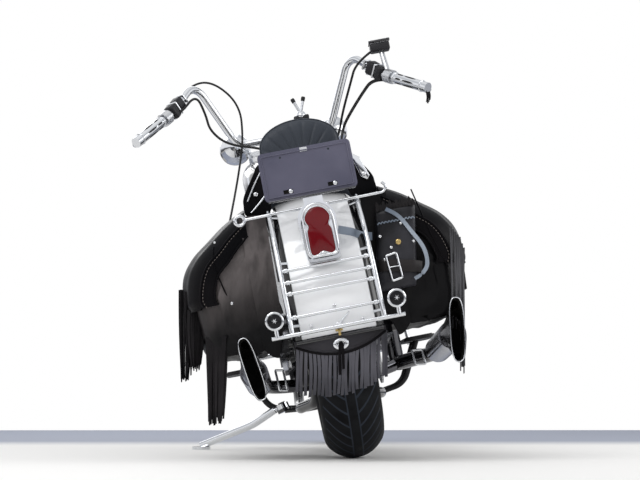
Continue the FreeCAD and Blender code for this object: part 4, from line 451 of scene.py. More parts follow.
FINISH = {
    "black_paint": enamel_finish("black_enamel", (0.010, 0.010, 0.012)),
    "white_paint": fender_finish("fender_enamel", FENDER_SHADE_EDGE),
    "front_fender": fender_finish("front_fender_enamel", FRONT_FENDER_SHADE_EDGE),
    "chrome": chrome_finish(),
    # Painted reflection: chrome darkened in its colour to stand in for the dark room it mirrors low down.
    "chrome_painted_darker": chrome_finish("chrome_painted_darker", (0.12, 0.12, 0.13), 0.08, 0.2),
    "bright_metal": alloy_finish("plain_steel", (0.62, 0.63, 0.65), 0.26),
    "bright_steel": alloy_finish("bright_steel", (0.78, 0.79, 0.81), 0.16),
    "brass": alloy_finish("worn_brass", (0.55, 0.40, 0.16), 0.3),
    "engine_alloy": alloy_finish("cast_alloy", (0.060, 0.060, 0.064), 0.42),
    "engine_black": fin_finish(),
    "plate_enamel": plate_finish(),
    "lens_red": lens_finish("red_lens", (0.14, 0.003, 0.007), 0.12, coat=0.3),
    "lens_clear": lens_finish("clear_lens", (0.70, 0.72, 0.75), 0.06),
    "lens_dark": lens_finish("smoked_lens", (0.008, 0.008, 0.010), 0.08, coat=0.2),
    "thread": rubber_finish("waxed_thread", (0.16, 0.14, 0.13), 0.6),
    "rubber_black": rubber_finish("black_rubber", (0.018, 0.018, 0.019), 0.5),
    "plastic_black": rubber_finish("matt_plastic", (0.022, 0.022, 0.025), 0.42),
    # Near-black finish: soot in the silencers, and painted shade behind the plate's slots and inside the pipes.
    "soot_and_painted_shade": rubber_finish("soot_and_painted_shade", (0.006, 0.0055, 0.005), 0.9),
    "tyre": tyre_finish("rear_rubber", JOINTS["rear_wheel"], REAR_TYRE_RADIUS, 0.070),
    "front_rubber": tyre_finish("front_rubber", JOINTS["front_wheel"], FRONT_TYRE_RADIUS, 0.036),
    "leather": leather_finish(
        "bag_leather", (0.0048, 0.0046, 0.0054), (0.155, 0.138, 0.138), 0.30, 0.5, mirror=0.14,
        sheen_heights=(0.27, 0.53),
    ),
    "lid_leather": leather_finish(
        "lid_leather", (0.003, 0.003, 0.004), (0.008, 0.007, 0.008), 0.30, 0.46, 0.2, 0.25, 0.05,
    ),
    "flap_leather": leather_finish("flap_leather", (0.016, 0.015, 0.018), (0.045, 0.043, 0.050), 0.4, 0.6),
    "case_leather": leather_finish(
        "case_leather", (0.006, 0.006, 0.008), (0.050, 0.050, 0.060), 0.24, 0.45, 0.4, 0.7, 0.25,
    ),
    "thong_leather": leather_finish(
        "thong_leather", (0.030, 0.030, 0.038), (0.110, 0.108, 0.128), 0.4, 0.6, mirror=0.3,
    ),
    "glossy_leather": leather_finish(
        "glossy_leather", (0.010, 0.010, 0.012), (0.10, 0.10, 0.11), 0.16, 0.3, mirror=0.6,
    ),
    "seat_leather": leather_finish("seat_leather", (0.026, 0.031, 0.041), (0.046, 0.053, 0.066), 0.30, 0.48),
    "strap_leather": leather_finish("strap_leather", (0.010, 0.009, 0.010), (0.036, 0.032, 0.032), 0.28, 0.5),
    "fringe_leather": leather_finish(
        "fringe_leather", (0.004, 0.004, 0.005), (0.026, 0.024, 0.026), 0.30, 0.5, mirror=0.05,
    ),
    "pale_strap": leather_finish("pale_strap", (0.13, 0.16, 0.21), (0.46, 0.52, 0.60), 0.30, 0.45),
}

# The silencers and the primary cover take the darkened chrome, a painted reflection.
OWN_FINISH = {
    "front_tyre": "front_rubber", "front_fender": "front_fender", "phone_holder": "chrome",
    "exhaust_left": "chrome_painted_darker", "exhaust_right": "chrome_painted_darker", "primary_cover": "chrome_painted_darker",
}


def dress_frame():
    """Gives each solid the finish of its slot, or its own one."""
    for part in frame["record"]["subparts"]:
        node = part["node"]
        finish = FINISH[OWN_FINISH.get(node, part["material_slot"])]
        mesh = NODES[node].data
        if not mesh.materials:
            mesh.materials.append(finish)
        for index in range(len(mesh.materials)):
            mesh.materials[index] = finish


# Making pieces. Each takes its finish by name.

WIRE_ORDER = 3
WIRE_SIDES = 4
WIRE_STEPS = 10
MERGE = 0.01
LEAST_RADIUS = 0.02


def full_turn(steps):
    """Cosine and sine at each step of a full turn."""
    return [(math.cos(2 * math.pi * k / steps), math.sin(2 * math.pi * k / steps)) for k in range(steps)]


def axes_across(axis):
    """An axis of length one and two directions square to it."""
    axis = Vector(axis).normalized()
    first = axis.orthogonal().normalized()
    return axis, first, axis.cross(first)


def rounded_power(value, power):
    """A cosine or sine drawn towards a square's corners."""
    return math.copysign(abs(value) ** power, value)


def as_piece(name, mesh, finish):
    mesh.materials.clear()
    mesh.materials.append(FINISH[finish])
    return put_in_scene(name, mesh)


def reworked(mesh, work, sharp=None, outwards=True):
    """Does work on a mesh, turns its faces outwards and shades it smooth up to a sharp angle."""
    soup = bmesh.new()
    soup.from_mesh(mesh)
    work(soup)
    if outwards:
        bmesh.ops.recalc_face_normals(soup, faces=soup.faces)
    soup.to_mesh(mesh)
    soup.free()
    if sharp:
        mesh.shade_smooth()
        mesh.set_sharp_from_angle(angle=math.radians(sharp))


def shell(name, corners, faces, finish, sharp=42):
    """A piece from corners and faces, closed where they meet."""
    mesh = bpy.data.meshes.new(name)
    mesh.from_pydata([tuple(corner) for corner in corners], [], faces)
    reworked(mesh, lambda soup: bmesh.ops.remove_doubles(soup, verts=soup.verts, dist=MERGE), sharp)
    return as_piece(name, mesh, finish)


def thicken(piece, depth):
    """Gives an open sheet its thickness, inwards from the outer face."""
    reworked(piece.data, lambda soup: bmesh.ops.solidify(soup, geom=list(soup.faces), thickness=depth), 60)


def flipped(piece):
    """Mirrors a right-hand piece to the left."""
    piece.data.transform(Matrix.Scale(-1, 4, (1, 0, 0)))
    reworked(piece.data, lambda soup: None)


def rounded(obj, width):
    """Bevels the edges where faces meet at 30 degrees or more."""
    def bevel(soup):
        limit = math.radians(30)
        edges = [e for e in soup.edges if len(e.link_faces) == 2 and e.calc_face_angle(0) > limit]
        bmesh.ops.bevel(
            soup, geom=edges, offset=width, segments=3, profile=0.5, affect="EDGES", clamp_overlap=True,
        )
    reworked(obj.data, bevel, 40, outwards=False)
    return obj


def lofted(name, rings, finish, closed=True, caps=True, sharp=42):
    """Skin over rings of equal length; closed rings join end to end."""
    count = len(rings[0])
    corners = [point for ring in rings for point in ring]
    faces = []
    span = count if closed else count - 1
    for row in range(len(rings) - 1):
        for column in range(span):
            a, b = row * count + column, row * count + (column + 1) % count
            faces.append((a, b, b + count, a + count))
    if caps:
        faces.append(tuple(range(count)))
        last = (len(rings) - 1) * count
        faces.append(tuple(range(last + count - 1, last - 1, -1)))
    return shell(name, corners, faces, finish, sharp)


def slab(name, outline, ys, finish):
    """An upright plate between two places along y, from its outline of (x, z) pairs."""
    return lofted(name, [[Vector((x, y, z)) for x, z in outline] for y in ys], finish, sharp=30)


def turned(name, centre, axis, outline, finish, steps=48):
    """A turned piece: outline holds (distance along the axis, radius) pairs."""
    axis, first, second = axes_across(axis)
    outs = [first * c + second * s for c, s in full_turn(steps)]
    rings = [
        [Vector(centre) + axis * along + out * max(radius, LEAST_RADIUS) for out in outs]
        for along, radius in outline
    ]
    return lofted(name, rings, finish, sharp=35)


def wire(name, points, radius, finish, closed=False):
    """A round wire along a smooth curve that has these points as its control points."""
    data = bpy.data.curves.new(name, "CURVE")
    data.dimensions = "3D"
    spline = data.splines.new("NURBS")
    spline.points.add(len(points) - 1)
    for entry, point in zip(spline.points, points):
        entry.co = (*point, 1)
    spline.use_cyclic_u = closed
    spline.order_u = WIRE_ORDER
    spline.use_endpoint_u = not closed
    data.resolution_u = WIRE_STEPS
    data.bevel_depth = radius
    data.bevel_resolution = WIRE_SIDES
    data.use_fill_caps = True
    source = put_in_scene(name + "_line", data)
    graph = bpy.context.evaluated_depsgraph_get()
    mesh = bpy.data.meshes.new_from_object(source.evaluated_get(graph))
    bpy.data.objects.remove(source)
    mesh.name = name
    mesh.shade_smooth()
    return as_piece(name, mesh, finish)


def wire_ring(name, centre, axis, radius, thick, finish):
    """A round ring of round wire."""
    axis, first, second = axes_across(axis)
    steps, sides = 48, 12
    corners = [
        Vector(centre) + axis * (thick * rise) + (first * c + second * s) * (radius + thick * reach)
        for c, s in full_turn(steps) for reach, rise in full_turn(sides)
    ]
    faces = []
    for index in range(steps):
        here, there = index * sides, (index + 1) % steps * sides
        for k in range(sides):
            following = (k + 1) % sides
            faces.append((here + k, here + following, there + following, there + k))
    return shell(name, corners, faces, finish, sharp=80)


def block_of(name, low, high, finish, bevel=2.0):
    """A box from its lowest to its highest corner with rounded edges."""
    corners = [(x, y, z) for x in (low[0], high[0]) for y in (low[1], high[1]) for z in (low[2], high[2])]
    faces = [(0, 1, 3, 2), (4, 6, 7, 5), (0, 4, 5, 1), (2, 3, 7, 6), (0, 2, 6, 4), (1, 5, 7, 3)]
    return rounded(shell(name, corners, faces, finish), bevel)


def smooth_line(points, steps, closed=False):
    """Points of a smooth curve through these points, steps to each stretch."""
    result = []
    count = len(points)
    for index in range(count if closed else count - 1):
        if closed:
            near = [points[(index + k) % count] for k in (-1, 0, 1, 2)]
        else:
            near = [points[max(0, min(index + k, count - 1))] for k in (-1, 0, 1, 2)]
        a, b, c, d = (Vector(point) for point in near)
        for step in range(steps):
            t = step / steps
            result.append(0.5 * (
                2 * b + (c - a) * t + (2 * a - 5 * b + 4 * c - d) * t * t
                + (3 * b - a - 3 * c + d) * t * t * t
            ))
    if not closed:
        result.append(Vector(points[-1]))
    return result


def eased_corners(corners, share):
    """Control points of a closed path that rounds its corners off."""
    path = []
    for index, corner in enumerate(corners):
        corner = Vector(corner)
        before, after = Vector(corners[index - 1]), Vector(corners[(index + 1) % len(corners)])
        path += [corner.lerp(before, share), corner, corner.lerp(after, share)]
    return path


def ribbon(name, points, across, width, thick, finish):
    """A flat strap along a smooth line, its width laid along one direction."""
    line = smooth_line(points, 8)
    rings = []
    across = Vector(across).normalized()
    for index, place in enumerate(line):
        before, after = line[max(index - 1, 0)], line[min(index + 1, len(line) - 1)]
        way = (after - before).normalized()
        wide = (across - way * across.dot(way)).normalized() * (width / 2)
        deep = wide.cross(way).normalized() * (thick / 2)
        rings.append([
            place + wide * a + deep * b for a, b in (
                (-1, -0.6), (-0.96, -1), (0.96, -1), (1, -0.6), (1, 0.6), (0.96, 1), (-0.96, 1), (-1, 0.6),
            )
        ])
    return lofted(name, rings, finish, sharp=50)


def repeated(name, template, spots, finish, size=1.0):
    """Copies of a template, size times as large, on a list of spots: (place, turn, three shares)."""
    mesh = bpy.data.meshes.new(name + "_spots")
    mesh.from_pydata([tuple(place) for place, _, _ in spots], [], [])
    mesh.attributes.new("turn", "QUATERNION", "POINT")
    mesh.attributes.new("size", "FLOAT_VECTOR", "POINT")
    for index, (_, turn, sized) in enumerate(spots):
        mesh.attributes["turn"].data[index].value = tuple(turn)
        mesh.attributes["size"].data[index].vector = tuple(sized)
    host = put_in_scene(name + "_spots", mesh)
    layout = bpy.data.node_groups.get("copies_on_spots") or repeat_layout()
    modifier = host.modifiers.new("copies", "NODES")
    modifier.node_group = layout
    entries = {item.name: item.identifier for item in layout.interface.items_tree if item.in_out == "INPUT"}
    modifier[entries["Template"]] = template
    modifier[entries["Size"]] = size
    modifier[entries["Finish"]] = FINISH[finish]
    graph = bpy.context.evaluated_depsgraph_get()
    made = bpy.data.meshes.new_from_object(host.evaluated_get(graph))
    made.name = name
    bpy.data.objects.remove(host)
    bpy.data.objects.remove(template)
    return as_piece(name, made, finish)


def repeat_layout():
    """Geometry Nodes that put a template on every point, with its size and finish as inputs."""
    layout = bpy.data.node_groups.new("copies_on_spots", "GeometryNodeTree")
    for name, way, kind in (
        ("Geometry", "INPUT", "Geometry"), ("Template", "INPUT", "Object"), ("Size", "INPUT", "Float"),
        ("Finish", "INPUT", "Material"), ("Geometry", "OUTPUT", "Geometry"),
    ):
        layout.interface.new_socket(name=name, in_out=way, socket_type="NodeSocket" + kind)
    given = layout.nodes.new("NodeGroupInput").outputs
    shape = new_node(layout, "GeometryNodeObjectInfo", {"Object": given["Template"]})
    shape.transform_space = "ORIGINAL"
    values = {}
    for name, kind in (("turn", "QUATERNION"), ("size", "FLOAT_VECTOR")):
        stored = layout.nodes.new("GeometryNodeInputNamedAttribute")
        stored.data_type = kind
        values[name] = feed(layout, stored, {"Name": name}).outputs["Attribute"]
    scale = layout.nodes.new("ShaderNodeVectorMath")
    scale.operation = "SCALE"
    feed(layout, scale, {0: values["size"], "Scale": given["Size"]})
    place = new_node(layout, "GeometryNodeInstanceOnPoints", {
        "Points": given["Geometry"], "Instance": shape.outputs["Geometry"],
        "Rotation": values["turn"], "Scale": scale.outputs[0],
    })
    real = new_node(layout, "GeometryNodeRealizeInstances", {"Geometry": place.outputs["Instances"]})
    painted = new_node(layout, "GeometryNodeSetMaterial", {
        "Geometry": real.outputs["Geometry"], "Material": given["Finish"],
    })
    new_node(layout, "NodeGroupOutput", {"Geometry": painted.outputs["Geometry"]})
    return layout


def facing(direction, up=(0, 0, 1)):
    """The turn that points a template's own -Y along a direction and keeps its Z near up."""
    front = Vector(direction).normalized()
    side = front.cross(Vector(up)).normalized() * -1
    top = side.cross(-front)
    return Matrix((side, -front, top)).transposed().to_quaternion()


def bolt_template(height):
    """A domed bolt head of radius one that stands out along its own -Y."""
    rings = [
        [Vector((wide * c, height * out, wide * s)) for c, s in full_turn(14)]
        for out, wide in ((0.6, 1.0), (-0.4, 1.0), (-0.8, 0.9), (-1.0, 0.62), (-1.04, 0.3))
    ]
    return lofted("bolt_template", rings, "bright_steel", sharp=50)


def bolts(name, spots, height=0.8, body="frame", size=1.0):
    """Bright bolt heads on a list of spots: (place, turn, radius as a share of size)."""
    spots = [(place, turn, (radius, radius, radius)) for place, turn, radius in spots]
    heads = repeated(name, bolt_template(height), spots, "bright_steel", size)
    fit(heads, "bright_metal", body=body)


def join_pieces(name, parts):
    """One piece out of several that share a body."""
    whole = bmesh.new()
    finishes = []
    for part in parts:
        mesh = part.data
        if mesh.materials[0] not in finishes:
            finishes.append(mesh.materials[0])
        start = len(whole.faces)
        whole.from_mesh(mesh)
        whole.faces.ensure_lookup_table()
        for face in whole.faces[start:]:
            face.material_index = finishes.index(mesh.materials[0])
        bpy.data.objects.remove(part)
    joined = bpy.data.meshes.new(name)
    whole.to_mesh(joined)
    whole.free()
    for finish in finishes:
        joined.materials.append(finish)
    return put_in_scene(name, joined)


def fit(piece, slot, *replaced, body="frame"):
    """Leans a piece into place, hangs it on its body and hides the solids it replaces."""
    stand_up(piece)
    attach(piece, body)
    if replaced:
        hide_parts(*replaced)


def fit_set(name, parts, slot, body="frame"):
    """Joins parts into one piece and fits it."""
    fit(join_pieces(name, parts), slot, body=body)


# Number plate

PLATE_HALF = 115.0
PLATE_LOW = 657.0
PLATE_HIGH = 778.0
PLATE_Y = -338.0
PLATE_RIM = 9.0
PLATE_SLOT = 55.0


def plate_details():
    """A bead inside the blank plate's edge, a lower flange, a top tab, and in each slot a bolt and a black block
    of painted shade.
    """
    half, low, high, y = PLATE_HALF - PLATE_RIM, PLATE_LOW + PLATE_RIM, PLATE_HIGH - PLATE_RIM, PLATE_Y - 0.6
    corners = [(-half, y, low), (half, y, low), (half, y, high), (-half, y, high)]
    bead = wire("plate_bead", eased_corners(corners, 0.07), 1.6, "plate_enamel", closed=True)
    # The flange takes the darkened chrome, a painted reflection.
    flange = block_of(
        "plate_flange", (-108, PLATE_Y - 9, PLATE_LOW - 3), (108, PLATE_Y + 1, PLATE_LOW + 1),
        "chrome_painted_darker", 1.0,
    )
    tab = block_of(
        "plate_tab", (-9, PLATE_Y - 1.5, PLATE_HIGH - 12), (9, PLATE_Y - 0.2, PLATE_HIGH - 2),
        "bright_metal", 0.5,
    )
    shades, heads = [], []
    for x in (-PLATE_SLOT, PLATE_SLOT):
        corner, opposite = (x - 13, PLATE_Y + 1.0, PLATE_LOW + 12), (x + 13, PLATE_Y + 3.4, PLATE_LOW + 24)
        # Painted shade: a black block behind each slot stands in for the dark hollow behind the plate.
        shades.append(block_of("slot_shade", corner, opposite, "soot_and_painted_shade", 1.0))
        heads.append(turned(
            "slot_bolt", (x + 6, PLATE_Y + 1.6, PLATE_LOW + 18), REARWARD,
            [(0, 0), (0, 5.4), (1.6, 5.0), (2.6, 3.0), (2.8, 0)], "chrome", steps=20,
        ))
    fit_set("plate_slot_shades", shades, "rubber_black")
    fit_set("plate_slot_bolts", heads, "chrome")
    fit(bead, "plate_enamel")
    fit_set("plate_trim", [flange, tab], "bright_metal")


# Backrest pad

PAD_HALF = 101.0
PAD_LOW = 748.0
PAD_TOP = 880.0
PAD_Y = -100.0
PAD_THICK = 52.0
PAD_EDGE = 8.0
PAD_SHOULDER = 818.0
PAD_SEAMS = 11
PAD_SEAM_DEPTH = 2.6
PAD_BAR_COVER = 25.0


def pad_outline():
    """Half-round outline of the pad in its own plane, from the foot's middle all the way round."""
    low, half = PAD_LOW, PAD_HALF
    points = [(0, low), (half - 26, low), (half - 4, low + 16), (half, PAD_SHOULDER - 12)]
    for step in range(9):
        angle = math.radians(12 + step * 156 / 8)
        points.append((half * math.cos(angle), PAD_SHOULDER + (PAD_TOP - PAD_SHOULDER) * math.sin(angle)))
    points += [(-half, PAD_SHOULDER - 12), (-half + 4, low + 16), (-half + 26, low)]
    return smooth_line([(x, 0, z) for x, z in points], 10, closed=True)


def backrest_pad():
    """Cushion with seams that fan out from its foot, fuller behind, where it covers the bar."""
    outline = pad_outline()
    foot = Vector((0, 0, PAD_LOW + PAD_EDGE))
    shares = (0.04, 0.2, 0.4, 0.6, 0.75, 0.86, 0.93, 0.98, 1.0)
    sections = [(True, share) for share in shares] + [(False, share) for share in shares[-2::-1]]
    rings = []
    for facing_rear, share in sections:
        puff = (1 - share ** 7) ** 0.5 if share < 1 else 0.0
        ring = []
        for point in outline:
            spread = point - foot
            angle = math.atan2(spread.z, spread.x)
            seam = 0.0
            for index in range(1, PAD_SEAMS):
                off = (angle - math.pi * index / PAD_SEAMS) / 0.035
                seam += math.exp(-off * off)
            dip = PAD_SEAM_DEPTH * seam * min(1.0, share * 2.5) * (1 - share ** 8)
            depth = PAD_EDGE + (PAD_THICK / 2 - PAD_EDGE) * puff - dip
            y = PAD_Y - depth - PAD_BAR_COVER if facing_rear else PAD_Y + depth
            ring.append(Vector((foot.x + spread.x * share, y, foot.z + spread.z * share)))
        rings.append(ring)
    pad = lofted("backrest_cushion", rings, "seat_leather", sharp=75)
    fit(pad, "seat_leather", "backrest_pad")
    welts = []
    for side, y in enumerate((PAD_Y - 9 - PAD_BAR_COVER, PAD_Y + 9)):
        path = [foot + (p - foot) * 1.004 for p in outline[::3]]
        path = [Vector((p.x, y, p.z)) for p in path]
        welts.append(wire(f"pad_welt_{side}", path, 2.2, "seat_leather", closed=True))
    fit_set("backrest_piping", welts, "seat_leather")


# Seats: each section is its centre, half width and half height.

RIDER_SECTIONS = (
    ((0, 612, 826), 46, 15), ((0, 565, 813), 74, 20), ((0, 480, 752), 130, 30),
    ((0, 375, 713), 156, 38), ((0, 285, 716), 150, 42), ((0, 236, 738), 128, 42),
)
PILLION_SECTIONS = (
    ((0, 230, 752), 96, 30), ((0, 150, 748), 122, 42), ((0, 20, 742), 130, 43.5), ((0, -66, 736), 118, 28),
)
SEAT_SQUARE = 0.66
SEAT_CHANNEL = 4.5


def seat(name, node, sections, tufts):
    """Saddle skinned over its solid's sections, with sewn channels across the top."""
    centres = smooth_line([centre for centre, _, _ in sections], 9)
    sizes = smooth_line([(wide, high, 0) for _, wide, high in sections], 9)
    rings = []
    for row, (centre, size) in enumerate(zip(centres, sizes)):
        share = row / (len(centres) - 1)
        end = min(1.0, math.sqrt(max(0.0, min(share, 1 - share) * 14)) * 0.5 + 0.5)
        channel = abs(math.sin(math.pi * share * tufts)) ** 0.35
        ring = []
        for c, s in full_turn(72):
            x = rounded_power(c, SEAT_SQUARE) * size.x * end
            z = rounded_power(s, SEAT_SQUARE) * size.y * end
            if z > 0:
                z -= SEAT_CHANNEL * (1 - channel) * max(0.0, s)
            ring.append(centre + Vector((x, 0, z)))
        rings.append(ring)
    piece = lofted(name, rings, "seat_leather", sharp=70)
    fit(piece, "seat_leather", node)
    welts = []
    for side in (1, -1):
        path = [
            centre + Vector((side * (size.x - 1.0), 0, 4))
            for centre, size in list(zip(centres, sizes))[3:-3:3]
        ]
        welts.append(wire(f"{name}_welt{side}", path, 2.4, "seat_leather"))
    fit_set(name + "_piping", welts, "seat_leather")


# Saddlebags: the right one is drawn and the left one is its mirror image.

BAG_INNER = 172.0
BAG_REAR = -200.0
BAG_LENGTH = 400.0
BAG_TOP = 684.0
BAG_SEAM = 446.0
BAG_LOW = 308.0
BAG_LID_X = 371.0
BAG_BODY_X = 352.0
BAG_MIDDLE_Z = 470.0
WAIST_Z = 520.0
WAIST_HALF = 12.0
WAIST_DEPTH = 3.0
BAG_SECTIONS = ((0.0, 50.0), (0.12, 18.0), (0.38, 0.0), (0.75, 6.0), (1.0, 42.0))
LID_BAND = 38.0
LID_THICK = 3.6
WING_TOP = 652.0
WING_LOW = 286.0
WING_CUT = 30.0
WING_INNER = 121.0
WING_Y = -203.0
WING_HALF_THICK = 3.5
SEAM_Y = -207.0


def drawn_in(y):
    """How far the bag's outline is drawn in at y, eased between the solid's sections."""
    share = (y - BAG_REAR) / BAG_LENGTH
    for (start, first), (end, second) in zip(BAG_SECTIONS, BAG_SECTIONS[1:]):
        if share <= end:
            t = max(0.0, min(1.0, (share - start) / (end - start)))
            ease = t * t * (3 - 2 * t) if end > 0.2 else math.sin(t * math.pi / 2)
            return first + (second - first) * ease
    return BAG_SECTIONS[-1][1]


def lid_line(y, lift=0.0):
    """The lid's contour at y from its lower outer edge over the top to the inner edge."""
    d = drawn_in(y)
    x, low = BAG_LID_X - d, BAG_SEAM
    points = [
        (x - 5, y, low - 2), (x, y, low + 20), (x - 12, y, low + 90 - 0.5 * d),
        (x - 43 + 0.2 * d, y, low + 136 - 0.7 * d), (x - 89 + 0.4 * d, y, low + 172 - 0.8 * d),
        (x - 139 + 0.7 * d, y, low + 208 - 0.9 * d), (BAG_INNER + 2, y, BAG_TOP - 0.9 * d),
    ]
    middle = Vector((BAG_INNER, y, low))
    return [point + (point - middle).normalized() * lift for point in smooth_line(points, 7)]


def body_ring(y, shrink=0.0):
    """The bag's section at y, from its inner wall down, out and back over the top."""
    d = drawn_in(y) + shrink
    x, inner, seam = BAG_BODY_X - d, BAG_INNER, BAG_SEAM
    low = BAG_LOW + shrink * 0.6
    return smooth_line([
        (inner + 2, y, 560), (inner + 1, y, 440), (inner + 2, y, low + 26), (inner + 16, y, low + 2),
        (inner + 60, y, low), (x - 64, y, low + 2), (x - 22, y, low + 14), (x - 4, y, low + 56),
        (x - 5, y, low + 96), (x, y, seam + 6), (x - 2, y, seam + 62 - 0.5 * d),
        (x - 34, y, seam + 122 - 0.7 * d), (x - 84, y, seam + 164 - 0.8 * d),
        (inner + 20, y, BAG_TOP - 24 - 0.9 * d),
    ], 6, closed=True)


def soft_folds(point, strength):
    """Slow dents and wrinkles of worn hide."""
    slow = noise.noise(point * 0.010) * 7.0
    fine = noise.turbulence(point * 0.024, 3, False) * 3.2
    return (slow - fine) * strength


def bag_body(side):
    """Slumped hide: creased round its waist, folded across its back."""
    rings = []
    stations = [BAG_REAR + 1 + (BAG_LENGTH - 2) * t / 26 for t in range(27)]
    ends = [(stations[0], 26), (stations[0], 8)], [(stations[-1], 8), (stations[-1], 26)]
    for y, shrink in ends[0] + [(y, 0) for y in stations] + ends[1]:
        middle = Vector((BAG_INNER + 90, y, BAG_MIDDLE_Z))
        ring = []
        for point in body_ring(y, shrink):
            out = (point - middle).normalized()
            dent = soft_folds(Vector((point.x * side, point.y, point.z)), 1.0)
            crease = math.exp(-((point.z - WAIST_Z) / WAIST_HALF) ** 2) * WAIST_DEPTH
            near_wheel = 1.0 if point.x > BAG_INNER + 12 else 0.0
            ring.append(point + out * (min(dent, 3.0) - crease) * near_wheel)
        rings.append(ring)
    centre = Vector((BAG_INNER + 80, BAG_REAR - 2.5, BAG_MIDDLE_Z))
    backs = []
    for share in (0.97, 0.86, 0.74, 0.62, 0.5, 0.38, 0.26, 0.14, 0.05):
        calm = min(1.0, (1 - abs(2 * share - 1)) * 2.2 + 0.25) if share < 0.5 else 1.0
        ring = []
        for p in rings[0]:
            spot = Vector((p.x, BAG_REAR - 1.0, p.z)).lerp(centre, share)
            slant = (spot.x - BAG_INNER - 60) * 0.62 - (spot.z - 430) * 0.78
            ridge = 6.5 * math.exp(-(slant / 16) ** 2) - 6.0 * math.exp(-((slant - 38) / 18) ** 2)
            dent = soft_folds(Vector((spot.x * side * 1.3, 90, spot.z * 0.8)), 1.2)
            ring.append(spot + Vector((0, -max(-5.0, min(9.0, ridge + dent)) * calm, 0)))
        backs.append(ring)
    front = BAG_REAR + BAG_LENGTH - 1
    far = Vector((BAG_INNER + 80, front, BAG_MIDDLE_Z))
    nose = [Vector((p.x, front, p.z)).lerp(far, 0.55) for p in rings[-1]]
    return lofted("bag_body", backs + rings + [nose], "leather", sharp=80)


def bag_lid():
    """Stiffer flap over the top with a turned-down band at both ends."""
    ys = [BAG_REAR - 3 + (BAG_LENGTH + 4) * t / 24 for t in range(25)]
    bands = [(LID_BAND, -2.0), (LID_BAND * 0.6, -4.0), (LID_BAND * 0.2, -4.2), (3.0, -2.5)]
    rings = [[p + Vector((0, push, 0)) for p in lid_line(ys[0], -inset)] for inset, push in bands]
    for y in ys:
        rings.append(lid_line(min(max(y, BAG_REAR), BAG_REAR + BAG_LENGTH), 1.5))
        for point in rings[-1]:
            point.y = y
    for inset, push in reversed(bands):
        rings.append([p + Vector((0, -push * 0.5, 0)) for p in lid_line(ys[-1] - 1, -inset)])
    lid = lofted("bag_lid", rings, "lid_leather", closed=False, caps=False, sharp=80)
    thicken(lid, LID_THICK)
    return lid


def stitches(name, path, pitch, out, finish):
    """Short threads along a path, a pitch apart."""
    total = 0.0
    spots = []
    last = Vector(path[0])
    need = 0.0
    for point in path[1:]:
        point = Vector(point)
        step = (point - last).length
        while need <= total + step and step > 0:
            place = last.lerp(point, (need - total) / step)
            turn = facing(out, (point - last).normalized())
            spots.append((place + Vector(out).normalized() * 0.6, turn, (1, 1, 1)))
            need += pitch
        total += step
        last = point
    length, thick = 5.2, 0.9
    rings = [
        [Vector((thick * wide * c, thick * wide * s, length * share)) for c, s in full_turn(6)]
        for share, wide in ((-0.5, 0.3), (-0.36, 0.85), (0.0, 1.0), (0.36, 0.85), (0.5, 0.3))
    ]
    return repeated(name, lofted("stitch_template", rings, finish, sharp=80), spots, finish)


def strap_section():
    """Ring of a strap that follows the lid's contour and hangs below its edge."""
    outer = lid_line(0, 6.5)[2:]
    inner = lid_line(0, 2.6)[2:]
    foot = [(BAG_LID_X - 3, BAG_SEAM - 66), (BAG_LID_X + 2, BAG_SEAM - 66)]
    low_in, low_out = (Vector((x, 0, z)) for x, z in foot)
    bend_out, bend_in = (Vector((BAG_LID_X + x, 0, BAG_SEAM - 20)) for x in (5, 1))
    return [low_out, bend_out] + outer + inner[::-1] + [bend_in, low_in]


def saddlebag(side, label):
    """A bag's body, lid, piping, stitches and strap."""
    rear = BAG_REAR - 3
    band, edge, seam = (
        [p + Vector((0, shift, 0)) for p in lid_line(rear, lift)]
        for shift, lift in ((-6.2, -LID_BAND), (-4.0, -2), (-7.6, -8))
    )
    along = [lid_line(y, 1.5)[0] + Vector((0, 0, -1)) for y in range(-196, 200, 18)]
    pieces = {"body": bag_body(side), "lid": bag_lid()}
    pieces["piping"] = join_pieces("bag_piping", [
        wire("band_cord", band, 2.6, "lid_leather"),
        wire("edge_cord", edge, 3.0, "lid_leather"),
        wire("side_cord", along, 2.6, "lid_leather"),
    ])
    pieces["stitches"] = stitches("bag_stitches", seam, 8.5, REARWARD, "thread")
    strap = [[p + Vector((0, y, 0)) for p in strap_section()] for y in (60, 98)]
    pieces["strap"] = lofted("bag_strap", strap, "strap_leather", sharp=40)
    for tail, piece in pieces.items():
        if side < 0:
            flipped(piece)
        piece.name = f"bag_{label}_{tail}"
        fit(piece, "leather")
    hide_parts(f"saddlebag_{label}")


def bag_wing(side, label):
    """Soft inner wing of a bag: it reaches from the bag's back to the fender's side."""
    rows, columns = 26, 9
    outer = BAG_INNER + 16
    rings = []
    for row in range(rows):
        t = row / (rows - 1)
        z = WING_TOP + (WING_LOW - WING_TOP) * t
        inner = WING_INNER + 9 * t + 22 * max(0.0, t - 0.8) / 0.2
        edge = []
        for column in range(columns):
            across = column / (columns - 1)
            x = inner + (outer - inner) * across
            rise = 6 * (1 - across) * (1 - t) - WING_CUT * across * across * t * t
            dent = soft_folds(Vector((x * side * 1.8, 40, z * 0.6)), 0.55)
            edge.append(Vector((x, WING_Y - WING_HALF_THICK - dent, z - rise)))
        rings.append(edge + [Vector((p.x, WING_Y + WING_HALF_THICK, p.z)) for p in reversed(edge)])
    wing = lofted(f"bag_{label}_wing", rings, "leather", sharp=70)
    if side < 0:
        flipped(wing)
    fit(wing, "leather")


